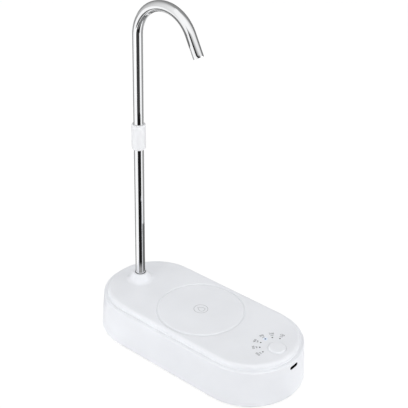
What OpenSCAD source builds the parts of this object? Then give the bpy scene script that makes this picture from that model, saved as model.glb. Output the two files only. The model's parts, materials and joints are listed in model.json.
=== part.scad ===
// Electric water jug pump: a long round-ended base with a plug-in steel spout, a cup pad and a start button.
// X runs along the base towards the charging port, Y across it and Z up.
// The origin is on the table, under the middle of the cup pad.

/* [Base] */
// Length of the base at its foot
base_len = 188; // [180:1:220]
// Width of the base at its foot
base_wid = 90; // [88:1:104]
// Height of the housing's rim above the table
rim_z = 32; // [31:0.5:40]
// Rise of the cover's flat top above the rim
cover_rise = 4; // [3.5:0.25:6]
// How much the wall leans in from foot to rim
draft = 2; // [0.5:0.25:3]
// Thickness of the housing wall
wall_t = 2.6; // [2:0.1:3.2]
// Thickness of the housing floor
floor_t = 2.4; // [1.8:0.1:3]
// Thickness of the cover
cover_t = 2.5; // [2.3:0.1:3]
// Radius along the bottom edge of the housing
foot_round = 2; // [1:0.25:3]
// Radius along the housing's rim
rim_round = 1.2; // [0.6:0.1:1.6]
// Width of the cover's rounded shoulder, seen from above
shoulder_w = 3.4; // [2.8:0.2:4]
// Width of the ledge between the shoulder and the cover's edge
ledge_w = 2; // [1.4:0.1:2.2]
// Thickness of the cover's edge on the housing's rim
ledge_t = 0.4; // [0.3:0.1:0.6]
// How far the rubber feet stand below the housing
foot_proud = 0.8; // [0.5:0.1:1.5]
// Radius of a rubber foot
foot_r = 6; // [4:0.5:8]

/* [Cup pad] */
// Radius of the cup pad
pad_r = 34.8; // [28:0.1:35]
// Thickness of the cup pad
pad_t = 1.4; // [1:0.1:1.6]
// Width of the moat's floor around the cup pad
moat_w = 0.5; // [0.4:0.1:0.7]
// Depth of the moat
moat_depth = 0.8; // [0.5:0.05:0.9]
// Width of the rounded edges on both sides of the moat
moat_bevel = 1.7; // [1:0.1:1.8]

/* [Spout] */
// Outer radius of the steel tube
tube_r = 4; // [3.8:0.1:4.6]
// Wall of the steel tube
tube_wall = 0.6; // [0.5:0.1:0.8]
// Distance from the base's rear end to the tube's axis
tube_inset = 27.3; // [24:0.1:32]
// Height of the boss that the tube stands in, above the cover
boss_h = 6.4; // [5:0.1:7]
// Radius of the boss at its foot
boss_foot_r = 12.5; // [12:0.5:15]
// Slope of the boss's flank
boss_slope = 58; // [50:1:60]
// Wall of the boss round the tube at its top
boss_wall = 1.7; // [1:0.1:2]
// Height at which the gooseneck starts to bend
bend_z = 249; // [220:1:280]
// Radius of the gooseneck's centre line
bend_r = 27; // [22:0.5:34]
// Angle that the gooseneck turns through
bend_angle = 153; // [140:1:170]
// Straight length after the bend
stub_len = 17; // [8:1:26]
// Height of the connector's lower end
joint_z = 157; // [120:1:170]
// Length of the connector
joint_len = 21; // [18:1:30]
// Outer radius of the connector
joint_r = 5.6; // [5.6:0.1:7]
// Depth of the tube's seat below the cover's underside
seat_depth = 17.5; // [15:0.5:18]

/* [Button and lights] */
// Distance from the base's front end to the button's centre
button_inset = 18.3; // [17:0.1:20]
// Radius of the button
button_r = 7.1; // [6:0.1:7.4]
// How far the button stands above the cover
button_proud = 1.1; // [0.6:0.1:2]
// Travel of the button
button_travel = 0.7; // [0.3:0.1:0.8]
// Number of level lights
light_count = 6; // [3:1:6]
// Distance from the button's centre to the centre of the lights' arc
light_shift = 2.4; // [2.2:0.1:3]
// Radius of the arc of lights
light_arc_r = 11.3; // [11.2:0.1:12]
// Angle from one light to the next
light_step = 30.2; // [22:0.2:30.4]
// Radius of one light
light_r = 0.6; // [0.4:0.05:0.8]

/* [Charging port] */
// Height of the port's centre
port_z = 27.3; // [26.8:0.1:27.6]
// Width of the port's metal shell
port_w = 8.94; // [8.8:0.02:9.2]
// Height of the port's metal shell
port_h = 3.26; // [3.1:0.02:3.4]
// Depth of the port's mouth inside the outer wall
port_recess = 1; // [0.8:0.1:1.6]
// Width of the opening in the wall in front of the port
port_open_w = 9.2; // [8.5:0.05:9.3]
// Height of the opening in the wall in front of the port
port_open_h = 3.1; // [2.5:0.05:3.1]

/* [Pump] */
// Radius of the motor
motor_r = 12.2; // [10:0.1:12.2]
// Length of the motor's can
motor_len = 31; // [25:0.5:32]
// Teeth on each pump gear
gear_teeth = 12; // [11:1:12]
// Tooth module of the pump gears
gear_module = 1; // [0.9:0.05:1]
// Width of the pump gears
gear_w = 8; // [5:0.5:9]
// Radius of the hose nozzles
nozzle_r = 3; // [2.5:0.1:3.2]
// Wall of the silicone hose
hose_wall = 1.5; // [1:0.1:1.6]
// Radius of the water inlet outside the housing
inlet_r = 3.5; // [3:0.1:4]
// Length of the water inlet outside its nut
inlet_len = 8; // [6:0.5:9]
// Height of the water inlet
inlet_z = 11; // [10.5:0.1:12]

/* [Battery] */
// Radius of the battery cell
cell_r = 9.2; // [7:0.1:9.3]
// Length of the battery cell
cell_len = 65; // [50:0.5:68]

/* [Hidden] */
$fn = 96;

// Fits
run_gap = 0.05;    // round pieces that turn or slide in each other
slip_gap = 0.3;    // moving pieces that only pass each other
seat_gap = 0.1;    // fixed pieces that drop into a recess
overcut = 1;       // how far a cutting shape runs past the face it opens

// Heights and radii of the shells
floor_z = foot_proud + floor_t;
top_z = rim_z + cover_rise;
under_z = top_z - cover_t;
foot_wall_r = base_wid / 2;
rim_wall_r = foot_wall_r - draft;
straight = base_len - base_wid;
end_x = straight / 2;
arc_steps = 8;
function outer_r(z) =
    foot_wall_r - draft * (z - foot_proud - foot_round) / (rim_z - rim_round - foot_proud - foot_round);
function inner_r(z) = outer_r(z) - wall_t;
function arc(cx, cz, rx, rz, from, to, steps = arc_steps) =
    [for (i = [0:steps]) let (a = from + (to - from) * i / steps) [cx + rx * cos(a), cz + rz * sin(a)]];

// Cover
lip_r = rim_wall_r - rim_round - 0.1;
cove_r = 0.8;
flat_r = lip_r - ledge_w - shoulder_w;
skirt_r = inner_r(rim_z) - 0.2;
skirt_t = 2;
skirt_h = 3;

// Screws that hold the cover: a pillar from the floor meets a column from the cover
screw_r = 1.1;
screw_head_r = 2.2;
screw_head_h = 1.8;
screw_web = 3;
screw_bite = 8;
pillar_r = 4.4;
pillar_z = 10;
column_r = 3.5;
screw_end_x = 14;
screw_y = foot_wall_r - 13;
screw_spots = [for (sx = [-1, 1], sy = [-1, 1]) [sx * (end_x + screw_end_x), sy * screw_y]];

// Feet
foot_sink = 1;
foot_end_x = -3;
foot_y = foot_wall_r - 12;
foot_x = end_x + foot_end_x;
foot_spots = [[0, 0], for (sx = [-1, 1], sy = [-1, 1]) [sx * foot_x, sy * foot_y]];

// Spout
tube_x = -base_len / 2 + tube_inset;
tube_in_r = tube_r - tube_wall;
boss_top_z = top_z + boss_h;
boss_top_r = tube_r + slip_gap + boss_wall;
boss_edge = 0.6;
seat_z = under_z - seat_depth;
joint_top_z = joint_z + joint_len;
joint_mid_z = joint_z + joint_len / 2;
joint_web = 2;
joint_round = 0.9;
spigot_r = tube_in_r - 0.2;
spigot_bore = spigot_r - 1.5;
spigot_ring = 0.45;
spigot_ring_z = 5;
lower_tube_top = joint_mid_z - joint_web / 2;
upper_tube_foot = joint_mid_z + joint_web / 2;
stub_swell = 0.02;
stub_lap = 0.5;

// Spout socket under the cover
socket_r = tube_r + 3.5;
socket_flange_r = 13;
socket_flange_t = 3;
socket_floor = 2;
socket_elbow_z = seat_z - nozzle_r - 1.5;
socket_ring = 0.9;
socket_ring_drops = [7, 12.5];
socket_screw_r = 1;
socket_screw_reach = 2.2;
socket_screw_y = 10.2;
socket_nozzle_len = 8;
nozzle_bore = nozzle_r - 1;

// Button, lights and board
button_x = base_len / 2 - button_inset;
button_gap = 0.15;
light_x = button_x - light_shift;
button_flange_r = button_r + 1.6;
button_flange_t = 1.2;
button_wall = 1.5;
button_crown = 0.5;
button_stop = 0.1;
button_floor_z = under_z - button_stop - button_flange_t;
collar_t = 1.1;
collar_h = 3;
guide_plate_t = 1.5;
guide_half_w = 1.5;
guide_stub_r = 1.2;
board_t = 1.6;
board_top = port_z - port_h / 2;
board_half_w = screw_y - column_r - 2;
board_rear_x = button_x - 25;
board_edge_gap = 1;
led_size = [1.6, 0.9, 0.6];
led_gap = 0.6;
switch_w = 6;
switch_h = 3.8;
plunger_r = 1.75;
plunger_sink = 2.4;
plunger_top = button_floor_z + 0.2;
post_r = 3;
post_spots = [for (sy = [-1, 1]) each [[button_x - 19.5, sy * 19], [button_x + 4.5, sy * 17.5]]];
post_screw_r = 0.9;
post_screw_len = 7;
function light_angle(i) = 180 + (i - (light_count - 1) / 2) * light_step;

// Charging port
port_wall = 0.3;
port_len = 7.35;
port_gap = 0.2;
port_pocket = 4;
port_mouth_x = end_x + outer_r(port_z) - port_recess;
tongue_t = 0.7;
tongue_w = 6.7;
tongue_len = 5;

// Pump and motor: the drive gear's axis is the motor's
pitch_r = gear_module * gear_teeth / 2;
gear_tip_r = pitch_r + 0.9 * gear_module;
gear_root_r = pitch_r - 1.2 * gear_module;
gear_pressure = 25;
gear_backlash = 0.12;
gear_end_gap = 0.2;
chamber_r = gear_tip_r + 0.25;
axle_gap = 2 * pitch_r;
shaft_r = 1;
idler_pin_r = 1.5;
idler_pin_sink = 3;
pump_wall_r = chamber_r + 3.35;
pump_wall_x = 5.4;
cup_wall = 1.4;
cup_len = 4;
cup_flange = 3;
damper_t = 1.2;
clamp_inset = 1.5;
clamp_t = 2;
clamp_foot_w = 6;
clamp_foot_t = 2.5;
clamp_floor_z = floor_z + 6.8;
clamp_screw_r = 1.1;
clamp_screw_bite = 5;
function clamp_half_w(r) = r + clamp_t + clamp_foot_w;
function clamp_spots(y, r) = [for (side = [-1, 1]) y + side * (r + clamp_t + clamp_foot_w / 2)];
motor_wall_gap = 2;
damper_seat_r = motor_r + damper_t + seat_gap;
motor_y = -(inner_r(clamp_floor_z) - motor_wall_gap - clamp_half_w(damper_seat_r));
cup_r = motor_r + run_gap + cup_wall;
motor_z = floor_z + cup_r + 0.4;
chamber_len = gear_w + 2 * gear_end_gap;
cap_t = 2.6;
lead_room = 3.3;
motor_x = board_rear_x - lead_room - cap_t - motor_len;
pump_x = motor_x - pump_wall_x - chamber_len;
gasket_t = 0.6;
pump_cover_t = 4.4;
cover_x = pump_x - gasket_t - pump_cover_t;
nozzle_len = 8;
nozzle_rise = pitch_r + 0.2;
nozzle_shift = pitch_r / 2;
mesh_y = motor_y + pitch_r;
pump_screw_r = 0.9;
pump_screw_arm = pump_wall_r - 1.6;
pump_screw_len = 16;
can_t = 0.8;
can_front_t = 1;
motor_nose_r = 3;
motor_nose_h = 1;
bush_r = 2.4;
bush_len = 3;
magnet_t = 1.7;
magnet_span = 130;
magnet_inset = 4;
magnet_len = motor_len - 9;
armature_r = motor_r - can_t - magnet_t - 0.5;
armature_inset = 6;
armature_len = motor_len - 13;
commutator_r = 2.6;
commutator_len = 4.5;
seal_r = 3;
seal_len = 2.4;
damper_inset = 8;
damper_len = 14;
motor_clamp_x = motor_x + damper_inset + damper_len / 2;

// Battery: two ribs carry the cell, and the rear one takes its clamp
cell_z = floor_z + cell_r + 0.6;
cell_crimp = 0.5;
cell_room = 10.7;
cell_x = board_rear_x - cell_room - cell_len / 2;
cell_wall_gap = 0.5;
cell_seat_r = cell_r + seat_gap;
rib_w = 8;
rib_end = 13;
rib_z = cell_z - 5;
rib_bite = rib_z - floor_z - 0.4;
cell_y = inner_r(rib_z) - cell_wall_gap - clamp_half_w(cell_seat_r);
front_rib_x = cell_x + cell_len / 2 - rib_end;
rear_rib_x = cell_x - cell_len / 2 + rib_end;

// Water inlet at the rear
inlet_wall_x = -end_x - outer_r(inlet_z) + 0.9;
inlet_pad_x = inlet_wall_x + 4.4;
inlet_pad_r = 9;
inlet_neck_r = inlet_r + 0.9;
inlet_bore = inlet_r - 1;
inlet_nut_t = 3;
inlet_nut_r = inlet_neck_r + 3;
inlet_flange_r = inlet_neck_r + 3;
inlet_flange_t = 2;
inlet_seal_t = 1;
inlet_block = 4.2;
inlet_elbow_len = 7;

// Hoses and leads
hose_bore = nozzle_r + 0.3;
hose_r = hose_bore + hose_wall;
inlet_elbow_x = inlet_pad_x + inlet_seal_t + inlet_flange_t + hose_r + slip_gap;
hose_sides = 12;
hose_steps = 22;
hose_lap = 7;
hose_turn = 15;
lead_r = 0.7;
lead_sides = 8;
lead_steps = 12;
plug_size = [6, 7.5, 5];
plug_y = 11.5;
plug_spots = [for (side = [-1, 1]) [board_rear_x + 5, side * plug_y]];
lead_pitch = 2.4;
lead_end = 0.6;
motor_lead_rise = 5;
cell_lead_rise = 3;

// Shared shapes

// A round-ended solid: a profile of radius and height, turned at both ends and drawn out between them
module obround(length) {
    for (turn = [0, 180])
        rotate([0, 0, turn]) translate([length / 2, 0, 0]) rotate([0, 0, -90])
            rotate_extrude(angle = 180) children();
    translate([-length / 2, 0, 0]) rotate([90, 0, 90]) linear_extrude(length) {
        children();
        mirror([1, 0]) children();
    }
}

// A flat slot shape with round ends, centred on the origin, its length along the first axis
module slot_2d(length, width) {
    square([length - width, width], center = true);
    for (side = [-1, 1]) translate([side * (length - width) / 2, 0]) circle(d = width);
}

// Turns a shape drawn along Z so that it runs along X
module along_x() {
    rotate([0, 90, 0]) children();
}

// A flat shape drawn as Y and Z, drawn out along X from a given place
module section_x(from, length) {
    translate([from, 0, 0]) rotate([90, 0, 90]) linear_extrude(length) children();
}

module ring(r, bore, height) {
    difference() {
        cylinder(r = r, h = height);
        translate([0, 0, -overcut]) cylinder(r = bore, h = height + 2 * overcut);
    }
}

module o_ring(section_r, centre_r) {
    rotate_extrude() translate([centre_r, 0]) circle(r = section_r);
}

// A screw that points along +Z, with its head below the origin and a cross recess in it
module screw(shank_r, length, head_r, head_h) {
    recess = 0.35 * shank_r;
    difference() {
        union() {
            cylinder(r = shank_r, h = length);
            translate([0, 0, -head_h]) cylinder(r = head_r, h = head_h);
        }
        for (turn = [0, 90]) rotate([0, 0, turn])
            translate([-head_r * 0.6, -recess, -head_h - overcut])
                cube([head_r * 1.2, 2 * recess, overcut + head_h / 2]);
    }
}

// A bent tube or wire: rings of points follow the path, and an inner radius makes it hollow
function unit(v) = v / norm(v);
function bezier(a, b, c, d, steps) = [for (i = [0:steps]) let (t = i / steps, s = 1 - t)
    s * s * s * a + 3 * s * s * t * b + 3 * s * t * t * c + t * t * t * d];
function tangent(path, i) = unit(path[min(i + 1, len(path) - 1)] - path[max(i - 1, 0)]);
function ring_points(path, r, sides, up) = [for (i = [0:len(path) - 1])
    let (t = tangent(path, i), side = unit(cross(t, up)), over = cross(side, t))
    for (k = [0:sides - 1]) let (a = 360 * k / sides) path[i] + r * (cos(a) * side + sin(a) * over)];
function skin_faces(rings, sides, base, flip) = [for (i = [0:rings - 2], k = [0:sides - 1])
    let (a = base + i * sides + k, b = base + i * sides + (k + 1) % sides, c = b + sides, d = a + sides)
    each flip ? [[a, b, c], [a, c, d]] : [[a, c, b], [a, d, c]]];
function end_rim(sides, outer, inner, flip) = [for (k = [0:sides - 1])
    let (a = outer + k, b = outer + (k + 1) % sides, c = inner + (k + 1) % sides, d = inner + k)
    each flip ? [[a, c, b], [a, d, c]] : [[a, b, c], [a, c, d]]];
function end_disc(sides, base, flip) = [for (k = [1:sides - 2])
    flip ? [base, base + k + 1, base + k] : [base, base + k, base + k + 1]];

module bent_tube(path, r, bore, sides, up = [0, 0, 1]) {
    n = len(path);
    polyhedron(
        points = concat(ring_points(path, r, sides, up), ring_points(path, bore, sides, up)),
        faces = concat(
            skin_faces(n, sides, 0, false), skin_faces(n, sides, n * sides, true),
            end_rim(sides, 0, n * sides, false), end_rim(sides, (n - 1) * sides, (2 * n - 1) * sides, true)));
}

module bent_wire(path, r, sides, up = [0, 0, 1]) {
    n = len(path);
    polyhedron(
        points = ring_points(path, r, sides, up),
        faces = concat(
            skin_faces(n, sides, 0, false),
            end_disc(sides, 0, false), end_disc(sides, (n - 1) * sides, true)));
}

// Casing

module housing_profile() {
    polygon(concat(
        [[0, foot_proud]],
        arc(foot_wall_r - foot_round, foot_proud + foot_round, foot_round, foot_round, -90, 0),
        arc(rim_wall_r - rim_round, rim_z - rim_round, rim_round, rim_round, 0, 90),
        [[0, rim_z]]));
}

module cavity_profile() {
    polygon([[0, floor_z], [inner_r(floor_z), floor_z], [inner_r(rim_z), rim_z],
        [inner_r(rim_z), rim_z + overcut], [0, rim_z + overcut]]);
}

module lower_housing() {
    color("white") difference() {
        union() {
            difference() {
                obround(straight) housing_profile();
                obround(straight) cavity_profile();
            }
            for (p = screw_spots) translate([p.x, p.y, floor_z])
                cylinder(r = pillar_r, h = pillar_z - floor_z);
            for (p = post_spots)
                translate([p.x, p.y, floor_z]) cylinder(r = post_r, h = board_top - board_t - floor_z);
            motor_cradle();
            section_x(front_rib_x - rib_w / 2, rib_w) battery_rib_2d(cell_seat_r + clamp_t);
            section_x(rear_rib_x - rib_w / 2, rib_w) battery_rib_2d(clamp_half_w(cell_seat_r));
            inlet_pad();
        }
        for (p = screw_spots) translate([p.x, p.y, 0]) housing_screw_bore();
        for (p = post_spots) translate([p.x, p.y, board_top - board_t - post_screw_len])
            cylinder(r = post_screw_r + run_gap, h = post_screw_len + overcut);
        for (p = foot_spots) translate([p.x, p.y, foot_proud - overcut])
            cylinder(r = foot_r + seat_gap, h = foot_sink + overcut);
        for (spot = clamp_spots(motor_y, damper_seat_r))
            translate([motor_clamp_x, spot, clamp_floor_z - clamp_screw_bite])
                cylinder(r = clamp_screw_r + run_gap, h = clamp_screw_bite + overcut);
        for (spot = clamp_spots(cell_y, cell_seat_r)) translate([rear_rib_x, spot, rib_z - rib_bite])
            cylinder(r = clamp_screw_r + run_gap, h = rib_bite + overcut);
        inlet_cut();
        port_cut();
    }
}

module housing_screw_bore() {
    head_z = pillar_z - screw_web;
    cylinder(r = screw_head_r + 0.3, h = head_z);
    cylinder(r = screw_r + 0.2, h = pillar_z + overcut);
}

module motor_cradle() {
    half = clamp_half_w(damper_seat_r);
    section_x(motor_clamp_x - damper_len / 2 + clamp_inset, damper_len - 2 * clamp_inset) difference() {
        translate([motor_y - half, floor_z]) square([2 * half, clamp_floor_z - floor_z]);
        translate([motor_y, motor_z]) circle(r = damper_seat_r);
    }
}

module battery_rib_2d(half) {
    difference() {
        translate([cell_y - half, floor_z]) square([2 * half, rib_z - floor_z]);
        translate([cell_y, cell_z]) circle(r = cell_seat_r);
    }
}

module inlet_pad() {
    intersection() {
        translate([inlet_wall_x, 0, inlet_z]) along_x()
            cylinder(r = inlet_pad_r, h = inlet_pad_x - inlet_wall_x);
        obround(straight) housing_profile();
    }
}

module inlet_cut() {
    translate([inlet_wall_x, 0, inlet_z]) along_x() {
        translate([0, 0, -20]) cylinder(r = inlet_nut_r + 0.4, h = 20);
        cylinder(r = inlet_neck_r + run_gap, h = inlet_pad_x - inlet_wall_x + overcut);
    }
}

// The shell stands in a pocket from the inside, behind a thin skin with an opening for the plug
module port_cut() {
    pocket_x = end_x + inner_r(port_z) - port_pocket;
    section_x(pocket_x, port_mouth_x + seat_gap - pocket_x)
        translate([0, port_z]) slot_2d(port_w + 2 * port_gap, port_h + 2 * port_gap);
    section_x(port_mouth_x, port_recess + overcut) translate([0, port_z]) slot_2d(port_open_w, port_open_h);
}

module cover_profile() {
    ledge_z = rim_z + ledge_t;
    shoulder_z = ledge_z + cove_r;
    shoulder_r = flat_r + shoulder_w;
    polygon(concat(
        [[0, top_z]],
        arc(flat_r, shoulder_z, shoulder_w, top_z - shoulder_z, 90, 0, 12),
        arc(shoulder_r + cove_r, shoulder_z, cove_r, cove_r, 195, 270, 5),
        [[lip_r, ledge_z], [lip_r, rim_z],
            [skirt_r, rim_z], [skirt_r, rim_z - skirt_h], [skirt_r - skirt_t, rim_z - skirt_h],
            [skirt_r - skirt_t, under_z], [0, under_z]]));
}

// The boss is a blunt cone that sweeps out into the cover's top
module boss_profile() {
    line_r = boss_top_r + boss_h / tan(boss_slope);
    sweep_r = (boss_foot_r - line_r) / tan(boss_slope / 2);
    polygon(concat(
        [[0, top_z - cover_t / 2], [boss_foot_r, top_z - cover_t / 2]],
        arc(boss_foot_r, top_z + sweep_r, sweep_r, sweep_r, 270, 270 - boss_slope, 8),
        arc(boss_top_r - boss_edge, boss_top_z - boss_edge, boss_edge, boss_edge, 90 - boss_slope, 90, 4),
        [[0, boss_top_z]]));
}

module top_cover() {
    color("white") difference() {
        union() {
            obround(straight) cover_profile();
            translate([tube_x, 0, 0]) rotate_extrude() boss_profile();
            for (p = screw_spots) translate([p.x, p.y, pillar_z])
                cylinder(r = column_r, h = under_z - pillar_z);
            translate([button_x, 0, under_z - collar_h])
                ring(button_flange_r + slip_gap + collar_t, button_flange_r + slip_gap, collar_h);
        }
        translate([tube_x, 0, under_z - overcut])
            cylinder(r = tube_r + slip_gap, h = boss_top_z - under_z + 2 * overcut);
        pad_recess();
        translate([button_x, 0, under_z - overcut])
            cylinder(r = button_r + button_gap, h = cover_t + 2 * overcut);
        for (i = [0:light_count - 1]) light_place(i)
            translate([0, 0, under_z - overcut]) cylinder(r = light_r + seat_gap, h = cover_t + 2 * overcut);
        for (p = screw_spots) translate([p.x, p.y, pillar_z - overcut])
            cylinder(r = screw_r + run_gap, h = screw_bite + 2 + overcut);
        for (side = [-1, 1]) translate([tube_x, side * socket_screw_y, under_z - overcut])
            cylinder(r = socket_screw_r + run_gap, h = socket_screw_reach + overcut);
    }
}

module light_place(i) {
    translate([light_x, 0, 0]) rotate([0, 0, light_angle(i)]) translate([light_arc_r, 0, 0]) children();
}

module pad_recess() {
    seat_r = pad_r + seat_gap;
    r = pad_r + moat_w + moat_bevel;
    rotate_extrude() polygon(concat(
        [[0, top_z - pad_t], [seat_r, top_z - pad_t], [seat_r, top_z - moat_depth]],
        arc(r, top_z - moat_depth, moat_bevel, moat_depth, 180, 90, 7),
        [[r, top_z + overcut], [0, top_z + overcut]]));
}

module cup_pad() {
    color("white") rotate_extrude() polygon(concat(
        [[0, top_z - pad_t], [pad_r, top_z - pad_t]],
        arc(pad_r - moat_bevel, top_z - moat_depth, moat_bevel, moat_depth, 0, 90, 7),
        [[0, top_z]]));
}

module foot(sx, sy) {
    top = foot_proud + foot_sink;
    color("lightgrey") translate([sx * foot_x, sy * foot_y, 0]) rotate_extrude()
        polygon([[0, 0], [foot_r - 0.4, 0], [foot_r, 0.4], [foot_r, top], [0, top]]);
}

module housing_screws() {
    color("silver") for (p = screw_spots) translate([p.x, p.y, pillar_z - screw_web])
        screw(screw_r, screw_web + screw_bite, screw_head_r, screw_head_h);
}

// Spout

module lower_tube() {
    color("silver") translate([tube_x, 0, seat_z]) ring(tube_r, tube_in_r, lower_tube_top - seat_z);
}

// The connector holds both tubes between its sleeve and its spigots, against the web in its middle
module tube_connector() {
    bore = tube_r + run_gap;
    color("white") translate([tube_x, 0, 0]) difference() {
        rotate_extrude() difference() {
            polygon(concat(
                [[0, joint_z]],
                arc(joint_r - joint_round, joint_z + joint_round, joint_round, joint_round, -90, 0),
                arc(joint_r - joint_round, joint_top_z - joint_round, joint_round, joint_round, 0, 90),
                [[0, joint_top_z]]));
            square([spigot_bore, 2 * bend_z]);
            for (side = [-1, 1]) connector_slot_2d(side, bore);
        }
    }
}

module connector_slot_2d(side, bore) {
    from = joint_mid_z + side * joint_web / 2;
    to = joint_mid_z + side * (joint_len / 2 + overcut);
    ring_z = from + side * spigot_ring_z;
    polygon([[spigot_r, from], [bore, from], [bore, to], [spigot_r, to]]);
    translate([spigot_r - spigot_ring - 0.35, ring_z - spigot_ring - 0.1])
        square([spigot_ring + 0.45, 2 * spigot_ring + 0.2]);
}

module connector_seals() {
    for (side = [-1, 1])
        color("dimgray") translate([tube_x, 0, joint_mid_z + side * (joint_web / 2 + spigot_ring_z)])
            o_ring(spigot_ring, tube_in_r - run_gap - spigot_ring);
}

// The gooseneck: a straight rise, a bend in the plane of the base's length and a short straight outlet
module gooseneck(r, extra) {
    translate([tube_x, 0, upper_tube_foot - extra]) cylinder(r = r, h = bend_z - upper_tube_foot + extra);
    translate([tube_x + bend_r, 0, bend_z]) {
        rotate([90, 0, 0]) rotate_extrude(angle = bend_angle, start = 180 - bend_angle)
            translate([bend_r, 0]) circle(r = r);
        rotate([0, bend_angle, 0]) translate([-bend_r, 0, -stub_lap])
            cylinder(r = r + stub_swell, h = stub_lap + stub_len + extra);
    }
}

module upper_tube() {
    color("silver") difference() {
        gooseneck(tube_r, 0);
        gooseneck(tube_in_r, overcut);
    }
}

module spout_socket() {
    color("gainsboro") translate([tube_x, 0, 0]) difference() {
        union() {
            translate([0, 0, under_z - socket_flange_t]) cylinder(r = socket_flange_r, h = socket_flange_t);
            translate([0, 0, socket_elbow_z - nozzle_r - socket_floor])
                cylinder(r = socket_r, h = under_z - socket_elbow_z + nozzle_r + socket_floor);
            translate([0, 0, socket_elbow_z]) along_x()
                cylinder(r = nozzle_r, h = socket_r + socket_nozzle_len);
        }
        translate([0, 0, seat_z]) cylinder(r = tube_r + run_gap, h = seat_depth + overcut);
        translate([0, 0, socket_elbow_z - nozzle_bore])
            cylinder(r = tube_in_r, h = seat_z - socket_elbow_z + nozzle_r);
        translate([0, 0, socket_elbow_z]) along_x()
            cylinder(r = nozzle_bore, h = socket_r + socket_nozzle_len + overcut);
        for (drop = socket_ring_drops) translate([0, 0, under_z - drop - socket_ring - seat_gap])
            cylinder(r = tube_r + 2 * run_gap + 2 * socket_ring, h = 2 * (socket_ring + seat_gap));
        for (side = [-1, 1]) translate([0, side * socket_screw_y, under_z - socket_flange_t - overcut])
            cylinder(r = socket_screw_r + 0.2, h = socket_flange_t + 2 * overcut);
    }
}

module socket_seals() {
    for (drop = socket_ring_drops)
        color("dimgray") translate([tube_x, 0, under_z - drop])
            o_ring(socket_ring, tube_r + run_gap + socket_ring);
}

module socket_screws() {
    color("silver") for (side = [-1, 1])
        translate([tube_x, side * socket_screw_y, under_z - socket_flange_t])
            screw(socket_screw_r, socket_flange_t + socket_screw_reach - 0.2, 1.9, 1.4);
}

// Button and lights

module button_cap() {
    top = top_z + button_proud;
    flange_z = button_floor_z + button_flange_t;
    stem_r = plunger_r + 0.5;
    roof_z = top - button_wall - button_crown;
    color("white") translate([button_x, 0, 0]) {
        rotate_extrude() polygon(concat(
            [[button_r - button_wall, button_floor_z], [button_flange_r, button_floor_z],
                [button_flange_r, flange_z], [button_r, flange_z]],
            arc(button_r - button_crown, top - 2 * button_crown, button_crown, button_crown, 0, 90, 4),
            [[button_r - 4 * button_crown, top - 0.5 * button_crown], [button_r / 2, top], [0, top],
                [0, roof_z], [button_r - button_wall, roof_z]]));
        translate([0, 0, plunger_top]) cylinder(r = stem_r, h = roof_z - plunger_top + 0.5);
    }
}

module switch_plunger() {
    foot_z = board_top + switch_h - plunger_sink;
    color("black") translate([button_x, 0, foot_z]) cylinder(r = plunger_r, h = plunger_top - foot_z);
}

module tact_switch() {
    color("dimgray") translate([button_x, 0, board_top]) difference() {
        translate([-switch_w / 2, -switch_w / 2, 0]) cube([switch_w, switch_w, switch_h]);
        translate([0, 0, switch_h - plunger_sink - button_travel - seat_gap])
            cylinder(r = plunger_r + run_gap, h = switch_h);
    }
}

// A clear comb: a curved plate against the cover, a pin up to each light and a stub down to each lamp
module light_guide() {
    reach = (light_count - 1) / 2 * light_step + 8;
    stub_z = board_top + led_size.z + led_gap;
    color("lightblue") {
        translate([light_x, 0, under_z - guide_plate_t]) rotate([0, 0, 180 - reach])
            rotate_extrude(angle = 2 * reach) translate([light_arc_r - guide_half_w, 0])
                square([2 * guide_half_w, guide_plate_t]);
        for (i = [0:light_count - 1]) light_place(i) {
            translate([0, 0, under_z - 0.5]) cylinder(r = light_r, h = cover_t + 0.5);
            translate([0, 0, stub_z]) cylinder(r = guide_stub_r, h = under_z - 0.5 - stub_z);
        }
    }
}

module led_chips() {
    color("lemonchiffon") for (i = [0:light_count - 1]) light_place(i)
        translate([-led_size.x / 2, -led_size.y / 2, board_top]) cube(led_size);
}

module board_2d() {
    intersection() {
        translate([end_x, 0]) circle(r = inner_r(board_top) - board_edge_gap);
        translate([board_rear_x, -board_half_w]) square([base_len, 2 * board_half_w]);
        translate([board_rear_x, -board_half_w]) square([port_mouth_x - 2 - board_rear_x, 2 * board_half_w]);
    }
}

module main_board() {
    color("darkgreen") translate([0, 0, board_top - board_t]) linear_extrude(board_t) difference() {
        board_2d();
        for (p = post_spots) translate([p.x, p.y]) circle(r = post_screw_r + 0.2);
    }
}

module board_chips() {
    color("black") {
        translate([button_x - 15, 12, board_top]) cube([6, 6, 1.2]);
        translate([button_x - 14, -18, board_top]) cube([5, 5, 2.6]);
        translate([button_x + 3, -14.5, board_top]) cube([4, 5, 1.5]);
    }
}

module board_screws() {
    color("silver") for (p = post_spots) translate([p.x, p.y, board_top]) rotate([180, 0, 0])
        screw(post_screw_r, board_t + post_screw_len - 1, 1.7, 1.3);
}

module usb_shell() {
    color("silver") section_x(port_mouth_x - port_len, port_len) translate([0, port_z]) difference() {
        slot_2d(port_w, port_h);
        slot_2d(port_w - 2 * port_wall, port_h - 2 * port_wall);
    }
}

module usb_tongue() {
    color("black") {
        section_x(port_mouth_x - port_len, port_len - tongue_len - 0.6) translate([0, port_z])
            slot_2d(port_w - 2 * port_wall - 0.04, port_h - 2 * port_wall - 0.04);
        translate([port_mouth_x - 0.6 - tongue_len - 0.5, -tongue_w / 2, port_z - tongue_t / 2])
            cube([tongue_len + 0.5, tongue_w, tongue_t]);
    }
}

// Gear pump

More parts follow.
